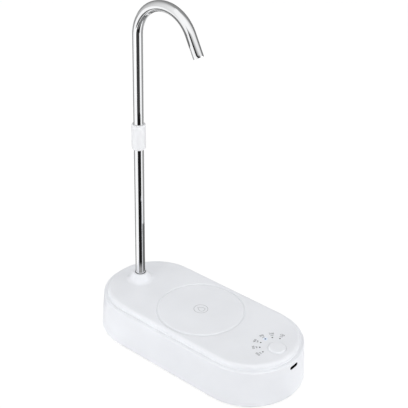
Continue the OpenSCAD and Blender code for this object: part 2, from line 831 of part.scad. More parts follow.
// One side of a tooth is an involute of the base circle, run in to the root along a radius
function involute_angle(r, base_r) =
    sqrt(pow(max(r / base_r, 1), 2) - 1) * 180 / PI - acos(min(base_r / r, 1));
function flank_angle(r) = let (base_r = pitch_r * cos(gear_pressure))
    90 / gear_teeth - gear_backlash * 90 / (PI * pitch_r)
    + involute_angle(pitch_r, base_r) - involute_angle(r, base_r);
function tooth(turn) = let (
        steps = 6,
        from = max(gear_root_r, pitch_r * cos(gear_pressure)) + 0.01,
        radii = [gear_root_r, for (i = [0:steps]) from + (gear_tip_r - from) * i / steps])
    concat(
        [for (r = radii) r * [cos(turn - flank_angle(r)), sin(turn - flank_angle(r))]],
        [for (i = [steps + 1:-1:0]) let (r = radii[i])
            r * [cos(turn + flank_angle(r)), sin(turn + flank_angle(r))]]);

module gear(bore, turn) {
    linear_extrude(gear_w) difference() {
        polygon([for (i = [0:gear_teeth - 1]) each tooth(turn + 360 * i / gear_teeth)]);
        circle(r = bore);
    }
}

// Stands at a gear's axis, with Z along X and the other gear towards +X of the turned frame
module at_gear(axle_y, x) {
    translate([x, axle_y, motor_z]) rotate([0, 90, 0]) rotate([0, 0, 90]) children();
}

module drive_gear() {
    color("ivory") at_gear(motor_y, pump_x + gear_end_gap) gear(shaft_r + 0.02, 0);
}

module idler_gear() {
    color("ivory") at_gear(motor_y + axle_gap, pump_x + gear_end_gap)
        gear(idler_pin_r + run_gap, 180 + 180 / gear_teeth);
}

module idler_pin() {
    color("silver") translate([pump_x, motor_y + axle_gap, motor_z]) along_x()
        cylinder(r = idler_pin_r, h = chamber_len + idler_pin_sink);
}

module pump_outline_2d(r) {
    for (y = [motor_y, motor_y + axle_gap]) translate([y, motor_z]) circle(r = r);
    translate([motor_y, motor_z - r]) square([axle_gap, 2 * r]);
}

pump_screw_spots = [for (side = [-1, 1], up = [-1, 1])
    [mesh_y + side * (axle_gap / 2 + pump_screw_arm * cos(45)), motor_z + up * pump_screw_arm * sin(45)]];

module pump_screw_places() {
    for (p = pump_screw_spots) translate([0, p.x, p.y]) children();
}

// The outlet stands above the gears' mesh, towards the idler, and the inlet below it, towards the drive gear
module nozzle_places(x) {
    for (up = [-1, 1])
        translate([x, mesh_y + up * nozzle_shift, motor_z + up * nozzle_rise]) along_x() children();
}

module pump_body() {
    color("whitesmoke") difference() {
        union() {
            section_x(pump_x, chamber_len + pump_wall_x) pump_outline_2d(pump_wall_r);
            translate([motor_x - cup_flange, motor_y, motor_z]) along_x()
                cylinder(r = cup_r, h = cup_flange + cup_len);
        }
        section_x(pump_x - overcut, chamber_len + overcut)
            for (y = [motor_y, motor_y + axle_gap]) translate([y, motor_z]) circle(r = chamber_r);
        translate([motor_x, motor_y, motor_z]) along_x()
            cylinder(r = motor_r + run_gap, h = cup_len + overcut);
        translate([pump_x, motor_y, motor_z]) along_x() cylinder(r = shaft_r + 0.3, h = motor_x - pump_x);
        translate([motor_x - motor_nose_h - seal_len, motor_y, motor_z]) along_x()
            cylinder(r = seal_r + run_gap, h = seal_len + motor_nose_h + overcut);
        translate([pump_x, motor_y + axle_gap, motor_z]) along_x()
            cylinder(r = idler_pin_r + 0.01, h = chamber_len + idler_pin_sink);
        pump_screw_places() translate([pump_x - overcut, 0, 0]) along_x()
            cylinder(r = pump_screw_r + run_gap, h = pump_screw_len - pump_cover_t - gasket_t + overcut);
    }
}

module pump_gasket() {
    color("dimgray") section_x(pump_x - gasket_t, gasket_t) difference() {
        pump_outline_2d(pump_wall_r - 0.3);
        for (y = [motor_y, motor_y + axle_gap]) translate([y, motor_z]) circle(r = chamber_r);
        for (p = pump_screw_spots) translate(p) circle(r = pump_screw_r + 0.2);
    }
}

module pump_cover() {
    color("whitesmoke") difference() {
        union() {
            section_x(cover_x, pump_cover_t) pump_outline_2d(pump_wall_r);
            nozzle_places(cover_x - nozzle_len) cylinder(r = nozzle_r, h = nozzle_len + pump_cover_t / 2);
        }
        nozzle_places(cover_x - nozzle_len - overcut)
            cylinder(r = nozzle_bore, h = nozzle_len + pump_cover_t + 2 * overcut);
        pump_screw_places() translate([cover_x - overcut, 0, 0]) along_x()
            cylinder(r = pump_screw_r + 0.2, h = pump_cover_t + 2 * overcut);
    }
}

module pump_screws() {
    color("silver") pump_screw_places() translate([cover_x, 0, 0]) along_x()
        screw(pump_screw_r, pump_screw_len - 0.5, 1.6, 1.3);
}

module shaft_seal() {
    color("dimgray") translate([motor_x - motor_nose_h - seal_len, motor_y, motor_z]) along_x()
        ring(seal_r, shaft_r + run_gap, seal_len);
}

// Motor

module motor_can() {
    color("silver") translate([motor_x, motor_y, motor_z]) along_x() difference() {
        union() {
            cylinder(r = motor_r, h = motor_len);
            translate([0, 0, -motor_nose_h]) cylinder(r = motor_nose_r, h = motor_nose_h);
        }
        translate([0, 0, can_front_t]) cylinder(r = motor_r - can_t, h = motor_len);
        translate([0, 0, -motor_nose_h - overcut])
            cylinder(r = bush_r + 0.01, h = 2 * overcut + motor_nose_h + can_front_t);
    }
}

module motor_end_cap() {
    color("ivory") translate([motor_x + motor_len, motor_y, motor_z]) along_x() difference() {
        union() {
            cylinder(r = motor_r, h = cap_t);
            translate([0, 0, -2]) cylinder(r = motor_r - can_t - run_gap, h = 2);
        }
        translate([0, 0, -2 - overcut]) cylinder(r = bush_r + 0.01, h = cap_t + 2 + 2 * overcut);
        for (side = [-1, 1]) translate([-4, side * 6 - 1, -2 - overcut]) cube([8, 2, 2 + overcut]);
    }
}

module motor_bushes() {
    color("goldenrod") translate([motor_x, motor_y, motor_z]) along_x() {
        translate([0, 0, -motor_nose_h]) ring(bush_r, shaft_r + run_gap, bush_len);
        translate([0, 0, motor_len + cap_t - bush_len]) ring(bush_r, shaft_r + run_gap, bush_len);
    }
}

module motor_magnets() {
    outer = motor_r - can_t - run_gap;
    for (turn = [0, 180])
        color("dimgray") translate([motor_x + magnet_inset, motor_y, motor_z]) along_x()
            rotate([0, 0, turn - magnet_span / 2]) rotate_extrude(angle = magnet_span)
                translate([outer - magnet_t, 0]) square([magnet_t, magnet_len]);
}

// A pair of leaf brushes stands in the end cap's slots, one on each side of the commutator
module motor_brushes() {
    color("goldenrod") translate([motor_x + motor_len - 1.6 - commutator_len, motor_y, motor_z])
        for (side = [-1, 1]) {
            translate([0, side * 6 - 0.8, -3.5]) cube([commutator_len + 1.4, 1.6, 7]);
            translate([0, side > 0 ? commutator_r + 0.2 : -6, -1]) cube([2.4, 6 - commutator_r - 0.2, 2]);
        }
}

module motor_shaft() {
    color("silver") translate([pump_x + gear_end_gap, motor_y, motor_z]) along_x()
        cylinder(r = shaft_r, h = motor_x + motor_len + cap_t - pump_x - gear_end_gap);
}

// Three wound poles with their shoes, and the commutator behind them
module armature() {
    color("peru") translate([motor_x + armature_inset, motor_y, motor_z]) along_x() difference() {
        union() {
            linear_extrude(armature_len) {
                circle(r = armature_r * 0.36);
                for (turn = [0, 120, 240]) rotate(turn) {
                    translate([0, -armature_r * 0.24]) square([armature_r * 0.86, armature_r * 0.48]);
                    intersection() {
                        difference() {
                            circle(r = armature_r);
                            circle(r = armature_r * 0.8);
                        }
                        polygon(armature_r * 2 * [[0, 0], [cos(50), -sin(50)], [cos(50), sin(50)]]);
                    }
                }
            }
            translate([0, 0, armature_len])
                cylinder(r = commutator_r, h = motor_len - armature_inset - armature_len - 2.6);
        }
        translate([0, 0, -overcut]) cylinder(r = shaft_r + 0.01, h = motor_len);
    }
}

module motor_damper() {
    color("dimgray") translate([motor_x + damper_inset, motor_y, motor_z]) along_x()
        ring(motor_r + damper_t, motor_r + 0.02, damper_len);
}

// A saddle strap: an arch over a cylinder with a foot on each side
module strap(y, z, r, floor, width) {
    half = clamp_half_w(r);
    difference() {
        section_x(-width / 2, width) difference() {
            union() {
                intersection() {
                    translate([y, z]) circle(r = r + clamp_t);
                    translate([y - half, floor]) square(2 * half);
                }
                translate([y - r - clamp_t, floor]) square([2 * (r + clamp_t), z - floor]);
                translate([y - half, floor]) square([2 * half, clamp_foot_t]);
            }
            translate([y, z]) circle(r = r);
            translate([y - r, floor - overcut]) square([2 * r, z - floor + overcut]);
        }
        for (spot = clamp_spots(y, r)) translate([0, spot, floor - overcut])
            cylinder(r = clamp_screw_r + 0.2, h = clamp_foot_t + 2 * overcut);
    }
}

module motor_clamp() {
    color("gainsboro") translate([motor_clamp_x, 0, 0])
        strap(motor_y, motor_z, damper_seat_r, clamp_floor_z, damper_len - 2 * clamp_inset);
}

module battery_clamp() {
    color("gainsboro") translate([rear_rib_x, 0, 0]) strap(cell_y, cell_z, cell_seat_r, rib_z, rib_w);
}

module clamp_screws() {
    color("silver") {
        for (spot = clamp_spots(motor_y, damper_seat_r))
            translate([motor_clamp_x, spot, clamp_floor_z + clamp_foot_t]) rotate([180, 0, 0])
                screw(clamp_screw_r, clamp_foot_t + clamp_screw_bite - 0.4, 2, 1.5);
        for (spot = clamp_spots(cell_y, cell_seat_r))
            translate([rear_rib_x, spot, rib_z + clamp_foot_t]) rotate([180, 0, 0])
                screw(clamp_screw_r, clamp_foot_t + rib_bite - 0.4, 2, 1.5);
    }
}

module battery_cell() {
    color("royalblue") translate([cell_x - cell_len / 2, cell_y, cell_z]) along_x() rotate_extrude() polygon([
        [0, 0], [cell_r - cell_crimp, 0], [cell_r, cell_crimp], [cell_r, cell_len - cell_crimp],
        [cell_r - cell_crimp, cell_len], [0, cell_len]]);
}

// Water path

module inlet_fitting() {
    neck_len = inlet_pad_x + inlet_seal_t - inlet_wall_x + inlet_nut_t;
    flange_x = inlet_pad_x + inlet_seal_t;
    color("gainsboro") translate([0, 0, inlet_z]) difference() {
        union() {
            translate([flange_x - neck_len, 0, 0]) along_x() cylinder(r = inlet_neck_r, h = neck_len);
            translate([flange_x - neck_len - inlet_len, 0, 0]) along_x() rotate_extrude()
                polygon([[0, 0], [inlet_r - 0.6, 0], [inlet_r, 0.6], [inlet_r, inlet_len], [0, inlet_len]]);
            translate([flange_x, 0, 0]) along_x() cylinder(r = inlet_flange_r, h = inlet_flange_t);
            translate([flange_x, -inlet_block, -inlet_block])
                cube([inlet_elbow_x + inlet_block - flange_x, 2 * inlet_block, 2 * inlet_block]);
            translate([inlet_elbow_x, 0, 0]) rotate([90, 0, 0])
                cylinder(r = nozzle_r, h = inlet_block + inlet_elbow_len);
        }
        translate([flange_x - neck_len - inlet_len - overcut, 0, 0]) along_x()
            cylinder(r = inlet_bore, h = inlet_elbow_x - flange_x + neck_len + inlet_len + overcut);
        translate([inlet_elbow_x, 0, 0]) rotate([90, 0, 0])
            cylinder(r = nozzle_bore, h = inlet_block + inlet_elbow_len + overcut);
    }
}

module inlet_nut() {
    color("gainsboro") translate([inlet_wall_x - inlet_nut_t, 0, inlet_z]) along_x() difference() {
        cylinder(r = inlet_nut_r, h = inlet_nut_t, $fn = 6);
        translate([0, 0, -overcut]) cylinder(r = inlet_neck_r + run_gap, h = inlet_nut_t + 2 * overcut);
    }
}

module inlet_seal() {
    color("dimgray") translate([inlet_pad_x, 0, inlet_z]) along_x()
        ring(inlet_flange_r, inlet_neck_r + run_gap, inlet_seal_t);
}

// Each hose covers a nozzle at both ends and bends freely between them
function hose_path(start, out, finish, back, pull, pull_back) = concat(
    [start, start + hose_lap / 2 * out],
    bezier(start + hose_lap * out, start + (hose_lap + pull) * out,
        finish + (hose_lap + pull_back) * back, finish + hose_lap * back, hose_steps),
    [finish + hose_lap / 2 * back, finish]);

module inlet_hose() {
    start = [inlet_elbow_x, -inlet_block - slip_gap, inlet_z];
    finish = [cover_x - slip_gap, mesh_y - nozzle_shift, motor_z - nozzle_rise];
    free = finish.x - hose_lap - start.x;
    color("white") bent_tube(
        hose_path(start, [0, -1, 0], finish, [-1, 0, 0], hose_turn, free / 2), hose_r, hose_bore, hose_sides);
}

module outlet_hose() {
    start = [cover_x - slip_gap, mesh_y + nozzle_shift, motor_z + nozzle_rise];
    finish = [tube_x + socket_r + slip_gap, 0, socket_elbow_z];
    free = start.x - finish.x - 2 * hose_lap;
    color("white") bent_tube(
        hose_path(start, [-1, 0, 0], finish, [1, 0, 0], free / 2, free / 2), hose_r, hose_bore, hose_sides);
}

// Leads

module lead_plugs() {
    color("white") for (p = plug_spots)
        translate([p.x - plug_size.x / 2, p.y - plug_size.y / 2, board_top - board_t - plug_size.z])
            cube(plug_size);
}

// Each wire leaves its start and meets its plug squarely, with a free bend between
function lead_path(start, finish) =
    let (
        out = [lead_end, 0, 0],
        pull = [(finish.x - start.x) / 2, 0, 0],
        from = start + out,
        to = finish - out)
    concat([start], bezier(from, from + pull, to - pull, to, lead_steps), [finish]);

module lead_pair(start, plug) {
    finish = [plug.x - plug_size.x / 2, plug.y, board_top - board_t - plug_size.z / 2];
    for (side = [-1, 1]) let (aside = [0, 0, side * lead_pitch / 2])
        bent_wire(lead_path(start + aside, finish + aside), lead_r, lead_sides);
}

module motor_leads() {
    color("firebrick")
        lead_pair([motor_x + motor_len + cap_t, motor_y, motor_z + motor_lead_rise], plug_spots[0]);
}

module battery_leads() {
    color("firebrick") lead_pair([cell_x + cell_len / 2, cell_y, cell_z + cell_lead_rise], plug_spots[1]);
}

lower_housing();
top_cover();
cup_pad();
foot(1, 1);  // foot_front_left
foot(1, -1);  // foot_front_right
foot(-1, 1);  // foot_rear_left
foot(-1, -1);  // foot_rear_right
foot(0, 0);  // foot_middle
housing_screws();
lower_tube();
tube_connector();
connector_seals();
upper_tube();
spout_socket();
socket_seals();
socket_screws();
button_cap();
switch_plunger();
tact_switch();
light_guide();
led_chips();
main_board();
board_chips();
board_screws();
usb_shell();
usb_tongue();
pump_body();
pump_cover();
pump_gasket();
pump_screws();
drive_gear();
idler_gear();
idler_pin();
shaft_seal();
motor_can();
motor_end_cap();
motor_magnets();
motor_bushes();
motor_brushes();
motor_shaft();
armature();
motor_damper();
motor_clamp();
clamp_screws();
battery_cell();
battery_clamp();
inlet_fitting();
inlet_nut();
inlet_seal();
inlet_hose();
outlet_hose();
lead_plugs();
motor_leads();
battery_leads();
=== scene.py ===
import json
import math
import bmesh
import bpy
import numpy as np
from mathutils import Matrix, Vector


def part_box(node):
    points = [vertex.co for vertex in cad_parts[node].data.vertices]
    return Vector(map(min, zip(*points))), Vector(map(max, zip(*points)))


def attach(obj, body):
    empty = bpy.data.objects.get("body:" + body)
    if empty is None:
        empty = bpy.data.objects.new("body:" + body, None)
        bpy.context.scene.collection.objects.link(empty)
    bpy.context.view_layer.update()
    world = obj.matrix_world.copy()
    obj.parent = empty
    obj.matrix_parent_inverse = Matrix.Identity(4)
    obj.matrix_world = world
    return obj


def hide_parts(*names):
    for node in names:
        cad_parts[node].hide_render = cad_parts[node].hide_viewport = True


# Electric water jug pump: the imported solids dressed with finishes, a studio and a camera.
# Lengths in the dictionaries are millimetres, angles are degrees.
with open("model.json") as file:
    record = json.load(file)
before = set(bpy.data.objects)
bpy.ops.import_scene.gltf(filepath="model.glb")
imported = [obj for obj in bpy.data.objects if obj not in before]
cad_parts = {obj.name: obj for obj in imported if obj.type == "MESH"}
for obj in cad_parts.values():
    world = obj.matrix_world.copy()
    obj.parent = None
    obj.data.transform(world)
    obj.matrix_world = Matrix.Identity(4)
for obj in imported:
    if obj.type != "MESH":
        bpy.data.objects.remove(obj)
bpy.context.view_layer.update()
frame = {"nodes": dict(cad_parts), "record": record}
nodes = frame["nodes"]
mm = 0.001
scene = bpy.context.scene
scene.view_settings.view_transform = "Standard"


def addObject(name, data):
    # an object linked into the scene
    thing = bpy.data.objects.new(name, data)
    scene.collection.objects.link(thing)
    return thing


camera = {
    "azimuth": 39.318, "elevation": 29.242, "roll": 1.529,  # round, above and about the line of sight
    "distance": 718.0, "target": (-11.296, 14.233, 122.293),
    "lens": 81.757, "sensor": 36.0, "clip": (10.0, 20000.0),
}


def placeCamera(spec):
    # back runs from the target to the eye; right and up are turned about it by the roll
    az, el, roll = (math.radians(spec[k]) for k in ("azimuth", "elevation", "roll"))
    back = Vector((math.sin(az) * math.cos(el), -math.cos(az) * math.cos(el), math.sin(el)))
    right = (-back).cross(Vector((0, 0, 1))).normalized()
    up = right.cross(-back)
    across = right * math.cos(roll) + up * math.sin(roll)
    upright = up * math.cos(roll) - right * math.sin(roll)
    data = bpy.data.cameras.new("photoCamera")
    data.lens, data.sensor_width = spec["lens"], spec["sensor"]
    data.clip_start, data.clip_end = (away * mm for away in spec["clip"])
    eye = addObject("photoCamera", data)
    place = Matrix((across, upright, back)).transposed().to_4x4()
    place.translation = (Vector(spec["target"]) + back * spec["distance"]) * mm
    eye.matrix_world = place
    scene.camera = eye


placeCamera(camera)
print("camera set")


# meshes

weldDigits = 5  # points that agree to this many decimals of a millimetre are one
weldGap = 0.002  # and so are a node's points that lie nearer than this


def gridCells(rows, cols, wrapRows, wrapCols):
    # row and column of the first corner of every cell of a rows x cols grid of points
    return np.meshgrid(np.arange(rows if wrapRows else rows - 1),
                       np.arange(cols if wrapCols else cols - 1), indexing="ij")


def gridFaces(rows, cols, wrapRows=False, wrapCols=True):
    # the four corners of every cell
    r, c = gridCells(rows, cols, wrapRows, wrapCols)
    r1, c1 = (r + 1) % rows, (c + 1) % cols
    return np.stack([r * cols + c, r * cols + c1, r1 * cols + c1, r1 * cols + c], -1).reshape(-1, 4)


def gridCorners(values, rows, cols, wrapRows=False, wrapCols=True):
    # a value for each corner of each cell, from a grid one row or column longer where the grid wraps
    r, c = gridCells(rows, cols, wrapRows, wrapCols)
    corners = [values[r, c], values[r, c + 1], values[r + 1, c + 1], values[r + 1, c]]
    return np.stack(corners, 2).reshape(-1, 4, 2)


def showMesh(name, mesh, sharp):
    # smooth but for the edges that turn by more than sharp
    mesh.shade_smooth()
    mesh.set_sharp_from_angle(angle=math.radians(sharp))
    return addObject(name, mesh)


def putMesh(name, points, faces, uv=None, sharp=32.0):
    # equal points are welded, faces that shrink to a line are dropped and a shell is turned outwards
    keys, index = np.unique(np.round(points, weldDigits), axis=0, return_inverse=True)
    corners = index.reshape(-1)[faces]
    a, b, c, d = (keys[corners[:, k]] for k in range(4))
    volume = np.einsum("ij,ij->", a, np.cross(b, c)) + np.einsum("ij,ij->", a, np.cross(c, d))
    if volume < 0:
        corners = corners[:, ::-1]
        uv = None if uv is None else uv[:, ::-1]
    kept = corners != np.roll(corners, -1, axis=1)
    full = kept.sum(1) > 2
    corners, kept = corners[full], kept[full]
    counts = kept.sum(1)
    mesh = bpy.data.meshes.new(name)
    mesh.vertices.add(len(keys))
    mesh.vertices.foreach_set("co", (keys * mm).astype(np.float32).ravel())
    mesh.loops.add(int(counts.sum()))
    mesh.loops.foreach_set("vertex_index", corners[kept].astype(np.int32))
    mesh.polygons.add(len(counts))
    mesh.polygons.foreach_set("loop_start", (np.cumsum(counts) - counts).astype(np.int32))
    mesh.update(calc_edges=True)
    if uv is not None:
        layer = mesh.uv_layers.new(name="along")
        layer.data.foreach_set("uv", uv[full][kept].astype(np.float32).ravel())
    mesh.validate()
    return showMesh(name, mesh, sharp)


def arcPoints(centre, radius, start, end, count):
    # points on an arc in the profile's plane
    t = np.radians(np.linspace(start, end, count))
    return np.stack([centre[0] + radius * np.cos(t), centre[1] + radius * np.sin(t)], 1)


def revolve(name, profile, centre, steps, closed=False):
    # x = cx + r cos t, y = cy + r sin t, z = height, for the profile's (r, height) and t once round
    profile = np.asarray(profile, float)
    t = np.linspace(0, 2 * np.pi, steps, endpoint=False)
    r, h = profile[:, :1], profile[:, 1:]
    points = np.stack([centre[0] + r * np.cos(t), centre[1] + r * np.sin(t), h + 0 * t], -1).reshape(-1, 3)
    return putMesh(name, points, gridFaces(len(profile), steps, wrapRows=closed))


def pipe(name, path, tangent, outer, bore, lip, steps, lipSteps=5):
    # a ring carried along a path in the XZ plane: point + radius (cos t side + sin t Y) + shift tangent;
    # the rows run round the first lip, along the outside, round the other lip and back along the bore
    turn = np.radians(np.linspace(0, 90, lipSteps))
    lipOut = outer - lip + lip * np.cos(turn)
    lipIn = bore + lip - lip * np.cos(turn)
    past = lip * np.sin(turn) - lip  # how far the lip's points stand past the path's end
    last = len(path) - 1
    wall = np.arange(1, last)
    flat = 0.0 * wall
    at = np.concatenate([[0] * 2 * lipSteps, wall, [last] * 2 * lipSteps, wall[::-1]])
    radius = np.concatenate([lipIn, lipOut[::-1], flat + outer, lipOut, lipIn[::-1], flat + bore])
    shift = np.concatenate([-past, -past[::-1], flat, past, past[::-1], flat])
    side = np.stack([tangent[:, 2], 0 * tangent[:, 0], -tangent[:, 0]], 1)
    t = np.linspace(0, 2 * np.pi, steps, endpoint=False)
    spot = path[at] + shift[:, None] * tangent[at]
    ring = np.cos(t)[None, :, None] * side[at][:, None] + np.sin(t)[None, :, None] * np.array([0.0, 1.0, 0.0])
    points = (spot[:, None] + radius[:, None, None] * ring).reshape(-1, 3)
    run = np.concatenate([[0], np.cumsum(np.linalg.norm(np.diff(path, axis=0), axis=1))])[at] + shift
    run = np.append(run, run[0])
    u, v = np.meshgrid(run, np.linspace(0, 2 * np.pi * outer, steps + 1), indexing="ij")
    uv = gridCorners(np.stack([u, v], -1) * mm, len(at), steps, wrapRows=True)
    return putMesh(name, points, gridFaces(len(at), steps, wrapRows=True), uv)


def ribbon(name, line, width, low, high):
    # a flat band along a closed line: four rows, inner and outer edge at two heights
    ahead = np.roll(line, -1, 0) - np.roll(line, 1, 0)
    across = np.stack([ahead[:, 1], -ahead[:, 0]], 1) / np.linalg.norm(ahead, axis=1)[:, None] * width / 2
    rows = [np.column_stack([line + s * across, np.full(len(line), z)])
            for s, z in ((-1, low), (1, low), (1, high), (-1, high))]
    return putMesh(name, np.concatenate(rows), gridFaces(4, len(line), wrapRows=True))


rim = {"radius": 38.0, "low": 29.0, "slack": 0.001, "cuts": 3}  # it lies outside radius and above low


def roundRim(grid, spec):
    # the rim's edges round each end are cut up along their arcs: while the cuts are made, these points hold
    # their angle and distance from the end's middle in place of x and y
    low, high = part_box("lower_housing")
    half = ((high[0] - low[0]) - (high[1] - low[1])) / 2
    polar = grid.verts.layers.int.new("polar")
    for side in (-1, 1):
        for v in grid.verts:
            x, y, z = side * v.co.x - half, v.co.y, v.co.z
            beyond = x > -spec["slack"] * mm and z > spec["low"] * mm
            v[polar] = int(beyond and math.hypot(x, y) > spec["radius"] * mm)
            if v[polar]:
                v.co = (math.atan2(y, x), math.hypot(x, y), z)
        edges = [e for e in grid.edges if e.verts[0][polar] and e.verts[1][polar]]
        bmesh.ops.subdivide_edges(grid, edges=edges, cuts=spec["cuts"], use_grid_fill=True)
        for v in grid.verts:
            if v[polar]:
                angle, away, z = v.co
                v.co = (side * (half + away * math.cos(angle)), away * math.sin(angle), z)
    grid.verts.layers.int.remove(polar)


def smoothCopy(node, name, edge=None, sharp=28.0):
    # the node's own triangles, merged and shaded smooth between its real edges
    mesh = nodes[node].data.copy()
    mesh.name = name
    grid = bmesh.new()
    grid.from_mesh(mesh)
    bmesh.ops.remove_doubles(grid, verts=grid.verts, dist=weldGap * mm)
    if edge:
        roundRim(grid, edge)
    grid.to_mesh(mesh)
    grid.free()
    piece = showMesh(name, mesh, sharp)
    even = piece.modifiers.new("evenNormals", "WEIGHTED_NORMAL")
    even.keep_sharp = True
    return piece


def settle(piece, body, slot, *stands, finish=None):
    # one material, the slot's own unless finish is given, one body and the nodes that the piece stands for
    piece.data.materials.clear()
    piece.data.materials.append(finish or materials[slot])
    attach(piece, body)
    if stands:
        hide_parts(*stands)


# finishes

noiseSpan = (0.3, 0.7)  # most of a noise's values lie between these
white = (1, 1, 1, 1)


def blankMaterial(name):
    # a material with nothing but its output, and the socket that its shader goes to
    material = bpy.data.materials.new(name)
    material.use_nodes = True
    tree = material.node_tree
    tree.nodes.clear()
    return material, tree, tree.nodes.new("ShaderNodeOutputMaterial").inputs["Surface"]


def startMaterial(name):
    # a material with one principled shader
    material, tree, surface = blankMaterial(name)
    shader = tree.nodes.new("ShaderNodeBsdfPrincipled")
    tree.links.new(shader.outputs[0], surface)
    return material, tree, shader


def addNode(tree, kind, **values):
    # a node with its inputs set by name, where _ stands for a space
    node = tree.nodes.new(kind)
    for key, value in values.items():
        node.inputs[key.replace("_", " ")].default_value = value
    return node


def coords(tree, uv=False, scale=(1, 1, 1)):
    # the place of a pattern: the piece's own coordinates or its UV map, scaled
    source = tree.nodes.new("ShaderNodeTexCoord").outputs["UV" if uv else "Object"]
    place = addNode(tree, "ShaderNodeMapping", Scale=scale)
    tree.links.new(source, place.inputs["Vector"])
    return place.outputs[0]


def noise(tree, where, scale, detail=3.0):
    # a cloud of values about a half
    cloud = addNode(tree, "ShaderNodeTexNoise", Scale=scale, Detail=detail)
    tree.links.new(where, cloud.inputs["Vector"])
    return cloud.outputs[0]


def remap(tree, value, fromLow, fromHigh, low, high):
    # a value carried from one span to another
    span = addNode(tree, "ShaderNodeMapRange", From_Min=fromLow, From_Max=fromHigh, To_Min=low, To_Max=high)
    tree.links.new(value, span.inputs["Value"])
    return span.outputs[0]


def blendColour(tree, share, first, second):
    # first and second are colours or sockets; 6, 7 and 2 are the mixing node's colour sockets
    mix = tree.nodes.new("ShaderNodeMix")
    mix.data_type = "RGBA"
    tree.links.new(share, mix.inputs[0])
    for socket, colour in ((mix.inputs[6], first), (mix.inputs[7], second)):
        if isinstance(colour, tuple):
            socket.default_value = (*colour, 1.0)
        else:
            tree.links.new(colour, socket)
    return mix.outputs[2]


def blendShaders(tree, share, first, second):
    # first where the share is 0, second where it is 1
    mix = tree.nodes.new("ShaderNodeMixShader")
    for socket, source in zip(mix.inputs, (share, first, second)):
        tree.links.new(source, socket)
    return mix.outputs[0]


def addBump(tree, shader, height, strength, depth):
    # fine relief from a height of 0 to 1
    bump = addNode(tree, "ShaderNodeBump", Strength=strength, Distance=depth * mm)
    tree.links.new(height, bump.inputs["Height"])
    tree.links.new(bump.outputs[0], shader.inputs["Normal"])


def toned(colour, share):
    # a colour made darker or lighter
    return tuple(share * c for c in colour)


finishBase = {
    "uv": False, "stretch": (1, 1, 1), "drift": (0.35, 0.65), "wander": 6.0,
    "grainDetail": 2.0, "speck": 0.08, "metal": 0.0, "coat": 0.0, "coatRough": 0.1, "clear": 0.0,
}


def makeFinish(name, spec):
    # two tones drift into each other, roughness wanders with a second cloud and a fine grain lifts the
    # surface; stretch draws the grain out into lines, along the UV map where uv is set
    look = {**finishBase, **spec}
    material, tree, shader = startMaterial(name)
    where = coords(tree, look["uv"])
    lines = coords(tree, look["uv"], look["stretch"])
    tone = remap(tree, noise(tree, where, look["patch"]), *look["drift"], 0.0, 1.0)
    colour = blendColour(tree, tone, look["tone"], look["shade"])
    grain = noise(tree, lines, look["grain"], look["grainDetail"])
    speck = remap(tree, grain, *noiseSpan, 0.0, look["speck"])
    tree.links.new(blendColour(tree, speck, colour, look["fleck"]), shader.inputs["Base Color"])
    wander = noise(tree, lines, look["patch"] * look["wander"])
    tree.links.new(remap(tree, wander, *noiseSpan, *look["rough"]), shader.inputs["Roughness"])
    addBump(tree, shader, grain, look["bump"], look["depth"])
    shader.inputs["Metallic"].default_value = look["metal"]
    shader.inputs["Coat Weight"].default_value = look["coat"]
    shader.inputs["Coat Roughness"].default_value = look["coatRough"]
    shader.inputs["Transmission Weight"].default_value = look["clear"]
    return material, tree, shader


def plastic(tone, rough=(0.34, 0.44), patch=25.0, grain=3200.0, bump=0.12, depth=0.012, **more):
    # a moulded surface: a little lighter and darker in patches, with a fine eroded grain
    return dict(tone=tone, shade=toned(tone, 0.955), fleck=toned(tone, 0.86),
                rough=rough, patch=patch, grain=grain, bump=bump, depth=depth, **more)


def metal(tone, rough, patch=40.0, grain=1800.0, bump=0.1, depth=0.006, **more):
    # drawn or turned metal, whose grain a stretch makes into lines of polish
    return dict(tone=tone, shade=toned(tone, 0.95), fleck=toned(tone, 0.72), metal=1.0,
                rough=rough, patch=patch, grain=grain, bump=bump, depth=depth, **more)


finishes = {
    "white_shell": plastic((0.83, 0.845, 0.878)),
    "white_trim": plastic((0.86, 0.868, 0.885), rough=(0.28, 0.38)),
    "pad": plastic((0.83, 0.845, 0.878), rough=(0.38, 0.5), grain=2400.0, bump=0.18),
    "spout_steel": metal((0.94, 0.945, 0.955), (0.03, 0.07), stretch=(1.0, 0.02, 1.0), uv=True,
                         bump=0.03, speck=0.03),
    "screw_steel": metal((0.62, 0.62, 0.63), (0.2, 0.34)),
    # port_metal: a blackened metal for the port's shell, made near black as painted shade inside the port's
    # mouth
    "port_metal": metal((0.012, 0.012, 0.013), (0.4, 0.55)),
    "foot_rubber": plastic((0.16, 0.16, 0.165), rough=(0.7, 0.85), grain=2200.0, bump=0.3),
    "black_rubber": plastic((0.022, 0.022, 0.024), rough=(0.55, 0.7), grain=2600.0, bump=0.25),
    "silicone": plastic((0.74, 0.76, 0.77), rough=(0.3, 0.45), clear=0.25),
    "inner_plastic": plastic((0.56, 0.57, 0.58), rough=(0.4, 0.55)),
    "gear_plastic": plastic((0.78, 0.76, 0.69), rough=(0.3, 0.42)),
    "black_plastic": plastic((0.02, 0.02, 0.021), rough=(0.3, 0.45)),
    "light_pipe": plastic((0.88, 0.90, 0.93), rough=(0.08, 0.16), clear=0.85),
    "lamp": plastic((0.86, 0.82, 0.58), rough=(0.2, 0.3)),
    "motor_steel": metal((0.56, 0.56, 0.57), (0.22, 0.36), stretch=(0.05, 1.0, 1.0)),
    "magnet": plastic((0.06, 0.06, 0.062), rough=(0.5, 0.65)),
    "bearing_bronze": metal((0.60, 0.40, 0.22), (0.28, 0.42)),
    "cell": plastic((0.10, 0.22, 0.34), rough=(0.22, 0.34), coat=0.3),
    "lead_sleeve": plastic((0.52, 0.03, 0.03), rough=(0.32, 0.44)),
}
materials = {name: makeFinish(name, spec)[0] for name, spec in finishes.items()}

